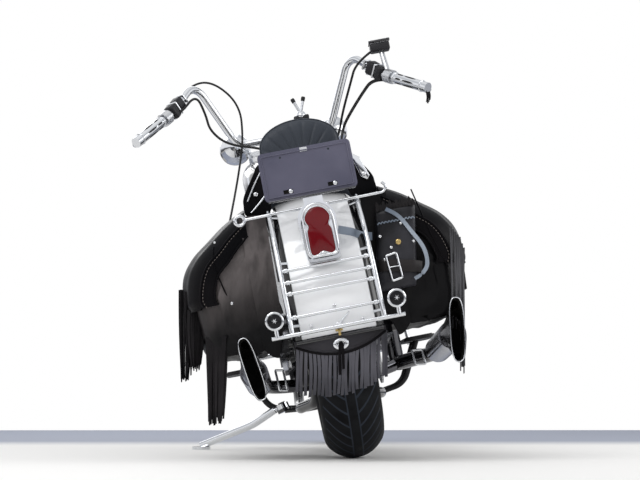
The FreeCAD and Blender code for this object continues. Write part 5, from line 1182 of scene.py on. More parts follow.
def bag_seams():
    """A crease sewn down the left bag with its rivets, and the right bag's curved seam."""
    left = [(-262, SEAM_Y, 590), (-274, SEAM_Y - 1, 556), (-262, SEAM_Y, 500), (-250, SEAM_Y, 452)]
    right = [(252, SEAM_Y, 640), (266, SEAM_Y - 1, 575), (284, SEAM_Y, 500), (306, SEAM_Y, 430)]
    seams = [wire("seam", path, 1.8, "lid_leather") for path in (left, right)]
    fit_set("bag_seams", seams, "leather")
    rear = facing(REARWARD)
    bolts("bag_rivets", [((-244, SEAM_Y, 442), rear, 4.4), ((-258, SEAM_Y, 600), rear, 3)])


# Fringes, flap and tool case

def spaced(start, end, count):
    start, end = Vector(start), Vector(end)
    return [start.lerp(end, index / (count - 1)) for index in range(count)]


def thong_length(first, middle, last):
    """Length along a row of thongs that changes smoothly from one end to the other."""
    return lambda t: first * (1 - t) * (1 - 2 * t) + 4 * middle * t * (1 - t) + last * t * (2 * t - 1)


def strand_bundle(name, tops, lengths, width, finish, seed, spread=6.0, thick=1.6, taper=0.35):
    """Leather fringe: flat tapering thongs that hang straight down, each a little out of line."""
    chance = random.Random(seed)
    length = thong_length(*lengths)
    corners, faces = [], []
    rows = 7
    for index, top in enumerate(tops):
        top = Vector(top)
        long = length(index / max(1, len(tops) - 1)) * chance.uniform(0.93, 1.0)
        lean = Vector((chance.uniform(-1, 1) * spread, chance.uniform(-1, 1) * spread, 0))
        curl = chance.uniform(-1, 1) * 3.0
        twist = chance.uniform(-0.7, 0.7)
        base = len(corners)
        for row in range(rows):
            t = row / (rows - 1)
            place = top + DOWN * (long * t) + lean * t * t + Vector((curl * math.sin(t * 3.0), 0, 0))
            half = width / 2 * (1 - taper * t)
            across = Vector((math.cos(twist * t), math.sin(twist * t), 0)) * half
            deep = Vector((-math.sin(twist * t), math.cos(twist * t), 0)) * (thick / 2)
            for sign_a, sign_b in ((-1, -1), (1, -1), (1, 1), (-1, 1)):
                corners.append(place + across * sign_a + deep * sign_b)
        for row in range(rows - 1):
            for k in range(4):
                a, b = base + row * 4 + k, base + row * 4 + (k + 1) % 4
                faces.append((a, b, b + 4, a + 4))
        faces.append((base, base + 3, base + 2, base + 1))
        last = base + (rows - 1) * 4
        faces.append((last, last + 1, last + 2, last + 3))
    return shell(name, corners, faces, finish, sharp=30)


# A bag's tufts: first and last top, thongs in a layer, lengths, seed of their sway, how far they
# draw together, width and finish.
LEFT_TUFTS = (
    ((-373, -62, 512), (-349, 4, 506), 11, (246, 240, 230), 11, 0.5, 6.5, "fringe_leather"),
    ((-356, -118, 500), (-344, -96, 480), 5, (190, 196, 186), 15, 0.3, 6.5, "fringe_leather"),
    ((-356, -128, 452), (-322, -104, 446), 9, (150, 158, 140), 12, 0.55, 7.5, "fringe_leather"),
    ((-322, -176, 372), (-276, -202, 366), 12, (222, 222, 206), 13, 0.3, 7.5, "fringe_leather"),
)
RIGHT_TUFTS = (
    ((360, -84, 470), (371, 8, 462), 13, (278, 296, 288), 21, 0.35, 6.5, "fringe_leather"),
    ((330, -213, 528), (347, -209, 498), 5, (262, 236, 226), 24, 0.25, 4.0, "glossy_leather"),
    ((346, -209, 492), (352, -204, 470), 3, (322, 328, 312), 25, 0.3, 5.0, "glossy_leather"),
    ((336, -150, 420), (352, -100, 424), 8, (150, 162, 144), 22, 0.35, 6.5, "fringe_leather"),
)


def tuft(start, end, count, lengths, seed, gather, width, finish):
    """Two layers of thongs whose lower ends draw together into a point."""
    tops = spaced(start, end, count) + [top + Vector((3, 5, 0)) for top in spaced(start, end, count)]
    middle = (Vector(start) + Vector(end)) / 2
    bundle = strand_bundle("tuft", tops, lengths, width, finish, seed, 5.0, 1.8, 0.2)
    length = thong_length(*lengths)
    longest = max(length(t / 10) for t in range(11))
    for vertex in bundle.data.vertices:
        share = max(0.0, min(1.0, (middle.z - vertex.co.z) / longest))
        pull = gather * share * share
        axis_x = middle.x + DOWN.x * longest * share
        vertex.co.x += (axis_x - vertex.co.x) * pull
        vertex.co.y += (middle.y - vertex.co.y) * pull * 0.6
    return bundle


def bag_fringes():
    """Tufts on both bags and two thin laces on the left, all plumb while the machine leans."""
    laces = strand_bundle(
        "laces", [(-368, -66, 452), (-364, -60, 448)], (178, 178, 178), 4.0, "fringe_leather", 14,
    )
    fit_set("fringe_left", [tuft(*row) for row in LEFT_TUFTS] + [laces], "leather")
    fit_set("fringe_right", [tuft(*row) for row in RIGHT_TUFTS], "leather")


FLAP_Y = -378.0
FLAP_HALF = 112.0
FLAP_TOP = 311.0
FLAP_EDGE = 297.0
FLAP_LOW = 262.0
THONG_PITCH = 9.4
FLAP_BOW = 0.0012
CONCHO = Vector((-2.0, FLAP_Y, 286.0))
# Cords along the flap: how far each reaches, its steps, how far it stands out and above the lower
# edge, thickness and finish.
FLAP_CORDS = ((110, 22, 3.4, 1.5, 3.2, "lid_leather"), (104, 26, 4.6, 9.0, 1.2, "flap_leather"))


def flap_low(x):
    """The flap's lower edge, a shallow curve."""
    share = x / FLAP_HALF
    return FLAP_LOW + (FLAP_EDGE - FLAP_LOW) * share * share


def flap_y(x):
    """The flap bows slightly round the tyre."""
    return FLAP_Y + FLAP_BOW * x * x


def mudflap():
    """Flap with a cord along its edge and a row of thongs."""
    rings = []
    columns, rows = 33, 9
    for column in range(columns):
        x = -FLAP_HALF + 2 * FLAP_HALF * column / (columns - 1)
        low, y = flap_low(x), flap_y(x)
        heights = [(t, FLAP_TOP + (low - FLAP_TOP) * t) for t in (row / (rows - 1) for row in range(rows))]
        behind = [Vector((x, y - 2.2 - math.sin(math.pi * t) * 2.2, z)) for t, z in heights]
        rings.append(behind + [Vector((x, y + 2.0, z)) for _, z in reversed(heights)])
    leather = lofted("mudflap_leather", rings, "flap_leather", sharp=60)
    cords = []
    for reach, step, out, rise, thick, finish in FLAP_CORDS:
        line = [(x, flap_y(x) - out, flap_low(x) + rise) for x in range(-reach, reach + 1, step)]
        cords.append(wire("cord", line, thick, finish))
    bar = block_of(
        "mudflap_strip", (-106, FLAP_Y - 3, FLAP_TOP - 9), (106, FLAP_Y + 12, FLAP_TOP - 1),
        "black_paint", 1.5,
    )
    thongs = []
    for first, last, seed, lengths in ((-106, -20, 31, (112, 106, 103)), (-12, 108, 32, (103, 104, 112))):
        row = [first + k * THONG_PITCH for k in range(round((last - first) / THONG_PITCH) + 1)]
        tops = [(x, flap_y(x) - 3.0, flap_low(x) + 2) for x in row]
        thongs.append(strand_bundle(
            "thongs", tops, lengths, THONG_PITCH - 1.6, "thong_leather", seed, 1.6, 2.2, 0.05,
        ))
    fit(leather, "leather", "mudflap")
    fit_set("mudflap_trim", cords, "leather")
    fit(bar, "black_paint")
    fit_set("mudflap_fringe", thongs, "leather")


def medallion():
    """Bright oval medallion with its tie, and the brass pin over it."""
    concho = turned(
        "concho", CONCHO + Vector((0, -4.5, 0)), REARWARD,
        [(0, 0), (0, 14), (1.4, 14.4), (3.4, 12.4), (4.0, 9.4), (3.4, 7.4), (1.2, 6.2), (0.6, 0)], "chrome",
    )
    knot = turned(
        "concho_knot", CONCHO + Vector((0, -6, 0)), REARWARD,
        [(-1, 0), (-1, 6.2), (3.4, 5.4), (4.6, 3.0), (5.0, 0)], "lid_leather",
    )
    oval = Matrix.Diagonal((1.3, 1, 0.95, 1))
    concho.data.transform(Matrix.Translation(CONCHO) @ oval @ Matrix.Translation(-CONCHO))
    tie = strand_bundle(
        "concho_tie", [(x, FLAP_Y - 11, 284) for x in (-5, 1)], (74, 70, 60), 7.0,
        "lid_leather", 33, 3, 2.2, 0.1,
    )
    pin = block_of("flap_pin", (-3, FLAP_Y - 5, 306), (3, FLAP_Y - 1, 322), "brass", 1.0)
    cross = block_of("flap_pin_bar", (-9, FLAP_Y - 5, 317), (9, FLAP_Y - 1, 322), "brass", 1.0)
    fit(concho, "chrome")
    fit_set("concho_ties", [tie, knot], "leather")
    fit_set("flap_stud", [pin, cross], "bright_metal")


CASE_LEFT = 134.0
CASE_RIGHT = 236.0
CASE_LOW = 398.0
CASE_TOP = 606.0
CASE_REAR = -248.0
CASE_FRONT = -203.0
CASE_JAGS = 12
CASE_SLANT = 0.17
CASE_SQUARE = (0.45, 0.7)
CASE_MIDDLE = (CASE_RIGHT + CASE_LEFT) / 2
# Straps of the case: name, route as (x, distance before the case's back, z), the way their width
# lies, width, thickness and finish.
CASE_STRAPS = (
    ("case_belt", [(130, 12, 462), (146, -3, 460), (186, -5, 452), (218, -3, 445), (238, 14, 440)],
     (0.19, 0, 1), 30, 3.2, "strap_leather"),
    ("case_strap", [(176, -3, 598), (204, -5, 574), (228, -4, 532), (250, -2, 486), (252, 0, 446),
                    (236, -1, 424), (214, 2, 414)],
     (0.8, 0, 0.5), 10, 2.6, "pale_strap"),
    ("case_strap_tip", [(130, 6, 538), (104, -20, 543), (78, -74, 551), (46, -82, 562)],
     (0.15, 0, 1), 20, 2.6, "pale_strap"),
)
CASE_STUDS = (
    (149, -1, 533, 4.2), (171, -2, 501, 4.2), (150, -2, 474, 4.2), (206, -3, 556, 3.6), (229, -2, 506, 3.6),
)


def case_lean(z):
    """The case hangs plumb, so it slants in the leaning machine's own axes."""
    return (z - (CASE_TOP + CASE_LOW) / 2) * CASE_SLANT


def tool_case():
    """Leather sheath: a puffed front between side seams, with a ragged laced top and straps."""
    rings = []
    rows = 30
    half = (CASE_RIGHT - CASE_LEFT) / 2
    for row in range(rows):
        t = row / (rows - 1)
        z = CASE_LOW + (CASE_TOP - CASE_LOW) * t
        centre = CASE_MIDDLE + case_lean(z)
        pinch = min(1.0, math.sqrt(max(0.02, t * 9))) * min(1.0, math.sqrt(max(0.10, (1 - t) * 14)))
        deep = (CASE_FRONT - CASE_REAR) / 2 * pinch
        ring = []
        for c, s in full_turn(48):
            x = centre + rounded_power(c, CASE_SQUARE[0]) * half * (0.93 + 0.07 * pinch)
            y = (CASE_FRONT + CASE_REAR) / 2 + 2 - rounded_power(s, CASE_SQUARE[1]) * deep
            point = Vector((x, y, z))
            if s > 0.05:
                point.y += min(3.0, soft_folds(point + Vector((90, 0, 40)), 0.7)) * 0.6
            ring.append(point)
        rings.append(ring)
    body = lofted("case_body", rings, "case_leather", sharp=80)
    laced = []
    for index in range(CASE_JAGS):
        x = CASE_LEFT + 6 + (CASE_RIGHT - CASE_LEFT - 12) * index / (CASE_JAGS - 1) + case_lean(CASE_TOP)
        high = 8 if index % 2 else 15
        outline = [(-6, -10), (6, -10), (3.5, high - 6), (0, high), (-3.5, high - 6)]
        outline = [(x + dx, CASE_TOP + dz) for dx, dz in outline]
        laced.append(slab("jag", outline, (CASE_REAR + 6, CASE_REAR + 9.5), "strap_leather"))
    start, width = CASE_LEFT + 4, CASE_RIGHT - CASE_LEFT - 8
    laced.append(wire("case_lace", [
        (start + width * i / 22 + case_lean(CASE_TOP - 40), CASE_REAR - 1.0, CASE_TOP - 44 + i % 2 * 7)
        for i in range(23)
    ], 1.6, "pale_strap"))
    straps = [
        ribbon(name, [(x, CASE_REAR + y, z) for x, y, z in route], *rest)
        for name, route, *rest in CASE_STRAPS
    ]
    fit(body, "leather", "tool_case")
    fit_set("case_laced_top", laced, "leather")
    fit_set("case_straps", straps, "leather")


def case_fittings():
    """Studs, brass knob and buckle of the tool case."""
    bolts("case_studs", [((x, CASE_REAR + y, z), facing(REARWARD), size) for x, y, z, size in CASE_STUDS])
    knob = turned(
        "case_knob", (191, CASE_REAR - 1, 511), REARWARD,
        [(-2, 0), (-2, 6), (1, 6.4), (2.4, 4.0), (4.4, 3.6), (6.4, 6.4), (9.4, 6.6), (10.6, 4.6), (11, 0)],
        "brass",
    )
    fit(knob, "bright_metal")
    corners = [(x, CASE_REAR - 8, z) for x, z in ((153, 482), (180, 486), (184, 422), (158, 418))]
    tongue = [(156, CASE_REAR - 9, 452), (168, CASE_REAR - 12, 453), (184, CASE_REAR - 10, 452)]
    fit_set("case_buckle", [
        wire("buckle_frame", eased_corners(corners, 0.22), 3.0, "chrome", closed=True),
        wire("buckle_tongue", tongue, 1.4, "chrome"),
    ], "chrome")


# Lamps

LENS_CENTRE = (0.0, 562.0)
LENS_STEPS = 96
LENS_OVAL = (24, 50)
LENS_DOME = (
    (1.0, 0.0), (0.985, -2.2), (0.95, -3.8), (0.88, -5.4), (0.76, -7.0), (0.58, -8.4), (0.36, -9.4),
    (0.16, -9.9), (0.03, -10.0),
)
LENS_RIGHT = (
    (6, 512), (9, 507), (26, 506), (31, 513), (31, 545), (30, 566), (26, 574), (25, 580), (29, 586),
    (32, 593), (29, 605), (20, 617), (8, 623.5),
)
SIGNAL_HALF = 148.0
SIGNAL_Z = 367.0
PASSING_X = 170.0
PASSING_Z = 1064.3


def upright_box(node):
    """A node's lowest and highest corners in the upright machine's millimetres."""
    back = MACHINE.inverted()
    places = [back @ vertex.co * 1000 for vertex in NODES[node].data.vertices]
    low = Vector([min(place[axis] for place in places) for axis in range(3)])
    high = Vector([max(place[axis] for place in places) for axis in range(3)])
    return low, high


def star_disc(name, centre, radius, finish):
    """A faceted bright star of six points that lies behind a lens and faces the rear."""
    way, first, second = axes_across(REARWARD)
    rays = 12
    corners = [Vector(centre) + way * 2.4]
    for index, (c, s) in enumerate(full_turn(rays)):
        reach = radius * 0.36 if index % 2 else radius
        corners.append(Vector(centre) + first * c * reach + second * s * reach)
    corners.append(Vector(centre) - way * 0.8)
    faces = []
    for index in range(rays):
        a, b = 1 + index, 1 + (index + 1) % rays
        faces += [(0, a, b), (rays + 1, b, a)]
    return shell(name, corners, faces, finish, sharp=5)


def lens_outline():
    """Lens of two lobes with a waist between them and a notch for the screw at its foot."""
    whole = LENS_RIGHT + tuple((-x, z) for x, z in reversed(LENS_RIGHT))
    return [(p.x, p.z) for p in smooth_line([(x, 0, z) for x, z in whole], 5, closed=True)]


def lens_rays(outline):
    """Where rays from the lens's centre leave an outline, one for each step of a full turn."""
    centre = LENS_CENTRE
    ring = []
    for c, s in full_turn(LENS_STEPS):
        reach = 0.0
        for (ax, az), (bx, bz) in zip(outline, outline[1:] + outline[:1]):
            ax, az, bx, bz = ax - centre[0], az - centre[1], bx - centre[0], bz - centre[1]
            cross = c * (bz - az) - s * (bx - ax)
            if abs(cross) < 1e-9:
                continue
            along = (ax * (bz - az) - az * (bx - ax)) / cross
            share = (ax * s - az * c) / cross
            if along > reach and -1e-6 <= share <= 1 + 1e-6:
                reach = along
        ring.append((centre[0] + c * reach, centre[1] + s * reach))
    return ring


def lamp_arch(low, high, y):
    """Outline of the lamp's foot, its straight sides and its round top, from its lower left corner."""
    half = (high.x - low.x) / 2 + 2.0
    bottom, top = low.z - 2.0, high.z + 2.0
    spring = top - half
    path = [(-half, y, bottom), (-half, y, (bottom + spring) / 2), (-half, y, spring)]
    for step in range(1, 8):
        angle = math.pi * (1 - step / 8)
        path.append((half * math.cos(angle), y, spring + half * math.sin(angle)))
    return path + [(half, y, spring), (half, y, (bottom + spring) / 2), (half, y, bottom)]


def tail_lamp_details():
    """Gasket, chrome bezel with its beads, domed red glass and its screw."""
    low, high = upright_box("tail_lens")
    y = low.y - 0.4
    path = lamp_arch(low, high, y)
    gasket = wire("tail_gasket", path + [(0, y, low.z - 3)], 1.8, "rubber_black", closed=True)
    fit(gasket, "rubber_black")
    face = low.y - 1.2
    outer = lens_rays([(x, z) for x, _, z in path])
    inner = lens_rays(lens_outline())
    rings = [[Vector((x, face + drop, z)) for x, z in ring] for ring, drop in (
        (outer, 1.6), (outer, -1.6), (inner, -2.2), (inner, 1.6), (outer, 1.6),
    )]
    fit_set("tail_bezel_ring", [
        lofted("tail_bezel", rings, "chrome", caps=False, sharp=50),
        wire("bezel_bead", [(x, face - 1.6, z) for x, z in outer[::4]], 3.4, "chrome", closed=True),
        wire("bezel_lip", [(x, face - 2.0, z) for x, z in inner[::2]], 1.5, "chrome", closed=True),
    ], "chrome")
    tail_glass(inner, face)
    head = [(0, 0), (0, 6.0), (2.0, 5.6), (3.2, 3.6), (3.6, 0)]
    fit(turned("tail_screw", (0, y - 3.0, 508), REARWARD, head, "chrome"), "chrome")


def tail_glass(outline, face):
    """Red dome over the lens: its outline at the foot and an oval near the top."""
    wide, high = LENS_OVAL
    rings = []
    for share, out in LENS_DOME:
        ring = []
        for x, z in outline:
            spread = Vector((x - LENS_CENTRE[0], 0, z - LENS_CENTRE[1]))
            angle = math.atan2(spread.z / high, spread.x / wide)
            oval = Vector((wide * math.cos(angle), 0, high * math.sin(angle)))
            spread = oval.lerp(spread, share ** 3)
            ring.append(Vector((LENS_CENTRE[0], face + out, LENS_CENTRE[1])) + spread * share)
        rings.append(ring)
    fit(lofted("tail_glass", rings, "lens_red", sharp=75), "lens_red")


def signals():
    """Dark round lens, bright star and rim on each rear signal."""
    y = upright_box("rear_signals")[0].y
    dome = [(-2, 0), (-2, 17.5), (1.0, 17.0), (3.0, 12.5), (4.2, 6.0), (4.6, 0)]
    for side, label in SIDES:
        place = Vector((side * SIGNAL_HALF, y - 0.2, SIGNAL_Z))
        fit(turned(f"signal_lens_{label}", place, REARWARD, dome, "lens_dark"), "lens_red")
        star = star_disc(f"signal_star_{label}", place + Vector((0, -4.2, 0)), 7.5, "bright_steel")
        fit(star, "chrome")
        rim = place + Vector((0, -1.5, 0))
        fit(wire_ring(f"signal_rim_{label}", rim, REARWARD, 19.4, 1.5, "chrome"), "chrome")


def front_lamps():
    """Clear glasses in bright rims on both passing lamps."""
    y = upright_box("passing_lamps")[1].y
    dome = [(-8, 0), (-8, 45), (1.2, 45), (4.0, 32), (6.4, 16), (6.9, 0)]
    for side, label in SIDES:
        x = side * PASSING_X
        glass = turned(f"passing_glass_{label}", (x, y - 6, PASSING_Z), (0, 1, 0), dome, "lens_clear")
        fit(glass, "lens_clear", body="steering")
        rim = wire_ring(f"passing_rim_{label}", (x, y - 9, PASSING_Z), (0, 1, 0), 50.0, 3.0, "chrome")
        fit(rim, "chrome", body="steering")


# Small hardware

RACK_X = 99.0
RACK_BARS = (484.0, 454.0, 426.0, 368.0, 327.0)
VALANCE = (
    (98, 772), (108, 780), (120, 776), (132, 757), (153, 726), (166, 704), (170, 686), (166, 656), (112, 650),
    (96, 700),
)
VALANCE_SECTION = ((-158, 0.55), (-160, 0.9), (-158, 1.0), (-149, 1.0), (-147, 0.9), (-148, 0.55))


def hardware():
    """Bolts on the fender and the side plates, and a collar at each end of the rack's bars."""
    rear = facing(REARWARD)
    spots = [
        ((x, behind_axle(FENDER_RADIUS, z) + out, z), rear, 4.6)
        for x, z, out in ((0, 380, -1), (-64, 341, 2), (62, 336, 2))
    ]
    for side, _ in SIDES:
        spots += [((side * 152.5, y, z), facing((side, 0, 0)), 6.5) for y, z in ((-72, 662), (-102, 708))]
    bolts("frame_bolts", spots, 0.75)
    outline = [(-4, 0), (-4, 5.0), (-3, 6.6), (3, 6.6), (4.5, 5.2), (5, 0)]
    fit_set("rack_collars", [
        turned(
            "collar", (side * RACK_X, behind_axle(GUARD_RADIUS, z), z), (side, 0, 0), outline, "chrome",
            steps=20,
        )
        for z in RACK_BARS for side in (1, -1)
    ], "chrome")


def sissy_trims():
    """Bright lines on the left side flap, dark flaps on both sides and a lozenge on the right one."""
    upper = [(-100, -161, 776), (-118, -162, 752), (-140, -162, 722), (-158, -161, 692)]
    lower = [(-104, -161, 706), (-128, -162, 682), (-154, -161, 662)]
    lines = [wire("line", path, thick, "chrome") for path, thick in ((upper, 2.0), (lower, 2.4))]
    fit_set("side_trim_left", lines, "chrome")
    for side, label in SIDES:
        edge = smooth_line([(x * side, 0, z) for x, z in VALANCE], 5, closed=True)
        middle = sum(edge, Vector()) / len(edge)
        rings = [[middle.lerp(p, share) + Vector((0, y, 0)) for p in edge] for y, share in VALANCE_SECTION]
        fit(lofted(f"side_valance_{label}", rings, "lid_leather", sharp=60), "seat_leather")
    outline = [(126, 764), (142, 752), (160, 700), (152, 690), (138, 700), (124, 748)]
    fit(rounded(slab("side_trim_right", outline, (-166, -161), "chrome"), 1.4), "chrome")
    spots = [((x, y, 706), facing(REARWARD), 1) for x, y in ((-134, -162), (146, -166))]
    bolts("side_trim_bolts", spots, size=6.0)


MUFFLERS = ((287.0, "right"), (-223.0, "left"))
MUFFLER_SLOPE = 0.049
MUFFLER_REAR_Z = 262.0
FISHTAIL_FRONT_Y = -160.0
SPLAY = math.radians(8)
# Sections of the black lining inside a fishtail, soot and painted shade: y, half width, half height and how square
# they are.
SOOT_AND_SHADE_SECTIONS = (
    (-296, 15.6, 76.6, 1.5), (-262, 18.6, 64, 1.35), (-232, 21.5, 50, 1.15), (-206, 24, 40, 1.05),
)
LIP_SECTION = (-300, 17.7, 78.6, 1.5)
LIP_OUT = 0.3
FISHTAIL_STEPS = 40


def fishtail_ring(x, y, wide, high, power):
    """The fishtail's oval section at y, its top turned outwards."""
    rise = MUFFLER_REAR_Z - (y - FISHTAIL_FRONT_Y) * MUFFLER_SLOPE
    turn = math.copysign(SPLAY, x)
    ring = []
    for c, s in full_turn(FISHTAIL_STEPS):
        dx, dz = rounded_power(c, 1 / power) * wide, rounded_power(s, 1 / power) * high
        ring.append(Vector((x, y, rise)) + Vector((
            dx * math.cos(turn) + dz * math.sin(turn), 0, dz * math.cos(turn) - dx * math.sin(turn),
        )))
    return ring


def exhaust_liners():
    """Soot on the inner walls of both fishtails, closed a short way in by painted shade, and a bright lip round
    each mouth.
    """
    for x, label in MUFFLERS:
        rings = [fishtail_ring(x, *section) for section in SOOT_AND_SHADE_SECTIONS]
        middle = sum(rings[-1], Vector()) / FISHTAIL_STEPS
        # Painted shade: the lining closes to a point, a black plug for the dark inside of the pipe.
        rings.append([middle + (p - middle) * 0.02 for p in rings[-1]])
        skin = lofted(f"exhaust_soot_{label}", rings, "soot_and_painted_shade", caps=False, sharp=60)
        thicken(skin, 1.2)
        fit(skin, "rubber_black")
        mouth = [p + Vector((0, -LIP_OUT, 0)) for p in fishtail_ring(x, *LIP_SECTION)]
        fit(wire(f"exhaust_lip_{label}", mouth, 1.3, "chrome", closed=True), "chrome")


BOARD_INNER = 228.0
BOARD_OUTER = 326.0
BOARD_TOP = 298.0
BOARD_REAR = 718.0
RIB_PITCH = 17.8


def footboard_ribs():
    """Fifteen rubber ribs across each footboard."""
    for side, label in SIDES:
        ribs = []
        for y in (BOARD_REAR + index * RIB_PITCH for index in range(15)):
            low = (BOARD_INNER + 8, y - 3.2, BOARD_TOP - 0.5)
            high = (BOARD_OUTER - 8, y + 3.2, BOARD_TOP + 2.6)
            ribs.append(block_of("board_rib", low, high, "rubber_black", 1.2))
        mat = join_pieces(f"board_ribs_{label}", ribs)
        if side < 0:
            flipped(mat)
        fit(mat, "rubber_black")


# Handlebar

BAR_TOP = Vector((262.0, 1085.0, 1272.0))
BAR_GRIP_START = Vector((352.0, 975.0, 1164.0))
BAR_END = Vector((466.0, 858.0, 1076.0))
GRIP_RADIUS = 16.9
# Housings of the controls on the bar's upper run: share of its length, length, width, height,
# bevel, and how far they stand up and over from the bar.
SWITCH_HOUSINGS = ((0.70, 34, 38, 44, 7, 0, 0), (0.93, 26, 40, 46, 6, 0, 0))
SWITCH_TRIMS = (
    (0.83, 7, 42, 48, 3, 0, 0), (0.52, 8, 32, 34, 3, 0, 0),
    (0.66, 11, 12, 6, 2, -8, -22), (0.76, 9, 10, 6, 2, 8, -22), (0.94, 12, 12, 6, 2, 0, -23),
)


def fit_bar_piece(piece, side, slot):
    """Fits a piece that was drawn on the right bar, on its own side."""
    if side < 0:
        flipped(piece)
    fit(piece, slot, body="steering")


def grip_details():
    """Long raised stripes round each grip and a bright ring at both its ends."""
    way, first, second = axes_across(BAR_END - BAR_GRIP_START)
    for side, label in SIDES:
        spots = []
        for c, s in full_turn(6):
            out = first * c + second * s
            for along, long in ((78, 12), (120, 24)):
                place = BAR_GRIP_START + way * along + out * GRIP_RADIUS
                spots.append((place, facing(out, way), (3.0, 1.2, long)))
        inlays = repeated(f"grip_inlays_{label}", bolt_template(1.0), spots, "rubber_black")
        rings = [
            wire_ring("grip_ring", BAR_GRIP_START + way * along, way, 17.5, 2.0, "chrome")
            for along in (56, 170)
        ]
        fit_bar_piece(inlays, side, "rubber_black")
        fit_bar_piece(join_pieces(f"grip_rings_{label}", rings), side, "chrome")


def bar_box(finish, share, length, wide, high, bevel, lift, shift):
    """A housing whose long side lies along the bar's upper run, at a share of its length."""
    way = (BAR_GRIP_START - BAR_TOP).normalized()
    up = Vector((0, 0, 1)).cross(way).normalized()
    over = way.cross(up).normalized()
    box = block_of(
        "housing", (-length / 2, -wide / 2, -high / 2), (length / 2, wide / 2, high / 2), finish, bevel,
    )
    place = BAR_TOP.lerp(BAR_GRIP_START, share) + up * lift + over * shift
    turn = Matrix((way, up, over)).transposed().to_4x4()
    box.data.transform(Matrix.Translation(place) @ turn)
    return box


def control_details():
    """Switch housings with their buttons, the fluid box's cover, and the tassel at the right grip's end."""
    for side, label in SIDES:
        housings = [bar_box("plastic_black", *row) for row in SWITCH_HOUSINGS]
        trims = [bar_box("chrome", *row) for row in SWITCH_TRIMS]
        black = join_pieces(f"switch_{label}", housings)
        shiny = join_pieces(f"switch_trim_{label}", trims)
        fit_bar_piece(black, side, "plastic_black")
        fit_bar_piece(shiny, side, "chrome")
    fit_set("fluid_box", [
        block_of("fluid_cover", (326, 963, 1242), (391, 1011, 1270), "plastic_black", 6),
        block_of("fluid_lid", (323, 960, 1270), (394, 1014, 1279), "black_paint", 3),
    ], "plastic_black", "steering")
    screws = [((x, y, 1279), facing((0, 0, 1), (0, 1, 0)), 1) for x in (332, 385) for y in (968, 1006)]
    bolts("fluid_screws", screws, 0.7, "steering", size=3.4)
    end = BAR_END + (BAR_END - BAR_GRIP_START).normalized() * 6
    tops = [end + Vector((k * 2.5 - 5, 0, -14)) for k in range(5)]
    tassel = strand_bundle("grip_tassel", tops, (34, 38, 30), 4.5, "fringe_leather", 41, 2.0)
    fit(tassel, "leather", body="steering")


PHONE_X = 70.0
PHONE_Y = 1165.0
PHONE_FOOT_Z = 1065.0


def phone_clamp_details():
    """Black caps on the clamp's two prongs, a black jaw and its foot."""
    caps = []
    outline = [(0, 0), (0, 6.4), (10, 7.2), (15, 6.0), (16, 0)]
    root = Vector((PHONE_X, PHONE_Y, PHONE_FOOT_Z + 56))
    for side in (-1, 1):
        tip = Vector((PHONE_X + side * 19, PHONE_Y, PHONE_FOOT_Z + 108))
        way = (tip - root).normalized()
        caps.append(turned("prong_cap", tip - way * 13, way, outline, "rubber_black", steps=20))
    for half, rear, front, low, high in ((26, 1150, 1180, 32, 48), (20, 1145, 1186, -2, 26)):
        corner = (PHONE_X - half, rear, PHONE_FOOT_Z + low)
        opposite = (PHONE_X + half, front, PHONE_FOOT_Z + high)
        caps.append(block_of("clamp_block", corner, opposite, "plastic_black", 5))
    fit_set("phone_clamp_trim", caps, "plastic_black", "steering")


BUCKLE_Y = -20.0
STRAP_BUCKLES = (
    ((-170, 262), (-150, 258), (-148, 204), (-168, 208)),
    ((190, 246), (216, 242), (218, 204), (192, 208)),
)


def low_details():
    """Strap buckles beside the silencers and the fender's small lozenge with its stay."""
    frames = []
    for corners in STRAP_BUCKLES:
        path = eased_corners([(x, BUCKLE_Y, z) for x, z in corners], 0.2)
        frames.append(wire("buckle", path, 3.0, "chrome", closed=True))
    fit_set("strap_buckles", frames, "chrome")
    y = behind_axle(FENDER_RADIUS, 326)
    outline = [(-11, 330), (1, 319), (13, 330), (1, 341)]
    lozenge = slab("lozenge", outline, (y - 3.5, y + 1.0), "bright_steel")
    stay = wire("stay", [(3, y - 3, 333), (18, y - 3, 346), (32, y - 2, 359)], 1.6, "chrome")
    fit_set("fender_lozenge_set", [rounded(lozenge, 1.2), stay], "bright_metal")


# Control cables and hoses: the same route points as their solids have.

CLUTCH_ROUTE = [
    (-366.7, 989.9, 1152.6), (-340, 1030, 1190), (-275, 1105, 1275), (-199, 1085, 1268), (-125, 1120, 1180),
    (-137, 1130, 1063), (-163, 1110, 979), (-191, 1050, 892), (-220, 900, 795), (-246, 740, 705),
    (-228, 650, 590), (-122, 640, 500), (-120, 640, 440),
]
THROTTLE_START = Vector((366.7, 959.9, 1152.6))
THROTTLE_ROUTE = [
    (319, 990, 1158), (276, 1040, 1122), (228, 1100, 1074), (200, 1130, 1040), (178, 1110, 975),
    (178, 1020, 862), (140, 900, 766), (95, 812, 740), (95, 806, 660),
]
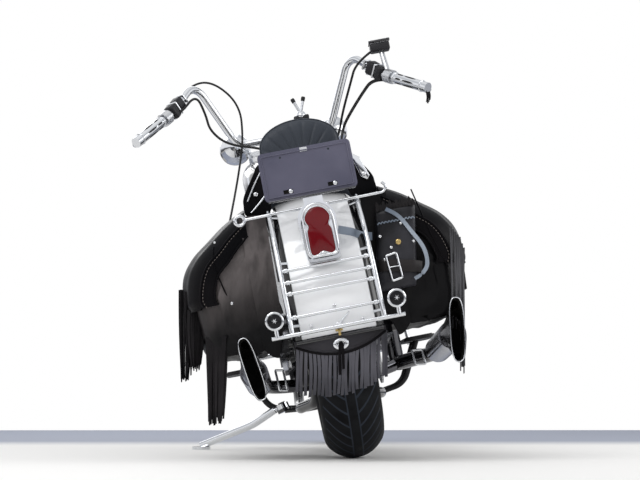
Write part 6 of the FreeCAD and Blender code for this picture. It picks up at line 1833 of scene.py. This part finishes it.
# How far each throttle cable starts from THROTTLE_START and lies off the route.
THROTTLE_SHIFTS = (((0, 11, -14), (0, 0, 0)), ((9, 14, -7), (0, 7, 7)))
HOSE_ROUTE = [
    (346.7, 989.9, 1256.6), (276, 1010, 1229), (245, 1055, 1166), (204, 1112, 1084), (186, 1165, 1032),
    (152, 1301, 987), (150, 1488, 680), (150, 1534, 519), (98, 1540, 480), (84, 1552, 437), (80, 1564, 411),
]
WIRING_ROUTE = [
    (-366.7, 970.9, 1138.6), (-318, 975, 1163), (-262, 1045, 1228), (-243, 1078, 1161), (-240, 1096, 1108),
    (-190, 1098, 1050), (-81, 1098, 1018), (-24, 1150, 990), (-20, 1203, 966),
]


def cables():
    """Clutch and throttle cables baked in place on no body, and the hose and loom that turn with the bar."""
    clutch = wire("clutch_line", CLUTCH_ROUTE, 3.5, "rubber_black")
    way = Vector(CLUTCH_ROUTE[1]) - Vector(CLUTCH_ROUTE[0])
    outline = [(0, 0), (0, 7.5), (18, 6.8), (34, 4.4), (36, 0)]
    boot = turned("clutch_boot", CLUTCH_ROUTE[0], way, outline, "rubber_black", steps=20)
    throttle = []
    for leave, shift in THROTTLE_SHIFTS:
        route = [THROTTLE_START + Vector(leave)]
        route += [Vector(point) + Vector(shift) for point in THROTTLE_ROUTE]
        throttle.append(wire("throttle_line", route, 3.0, "rubber_black"))
    hose = wire("brake_line", HOSE_ROUTE, 4.0, "rubber_black")
    loom = wire("switch_loom", WIRING_ROUTE, 4.0, "rubber_black")
    fit(hose, "rubber_black", "brake_hose", body="steering")
    fit(loom, "rubber_black", "switch_wiring", body="steering")
    fit_set("clutch_ends", [boot], "rubber_black", "steering")
    bending(clutch, "clutch_cable")
    bending(join_pieces("throttle_lines", throttle), "throttle_cables")


def bending(piece, node):
    """Leans a cable into place, hides its solid and bakes the lean into its mesh; it hangs on no body."""
    stand_up(piece)
    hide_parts(node)
    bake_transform(piece)


def build():
    lay_floor()
    light_studio()
    set_camera()
    dress_frame()
    cables()
    plate_details()
    backrest_pad()
    seat("rider_saddle", "rider_seat", RIDER_SECTIONS, 6)
    seat("pillion_saddle", "pillion_seat", PILLION_SECTIONS, 4)
    for make in (saddlebag, bag_wing):
        for side, label in SIDES:
            make(side, label)
    bag_seams()
    bag_fringes()
    mudflap()
    medallion()
    tool_case()
    case_fittings()
    tail_lamp_details()
    signals()
    front_lamps()
    hardware()
    sissy_trims()
    exhaust_liners()
    footboard_ribs()
    grip_details()
    control_details()
    phone_clamp_details()
    low_details()


build()
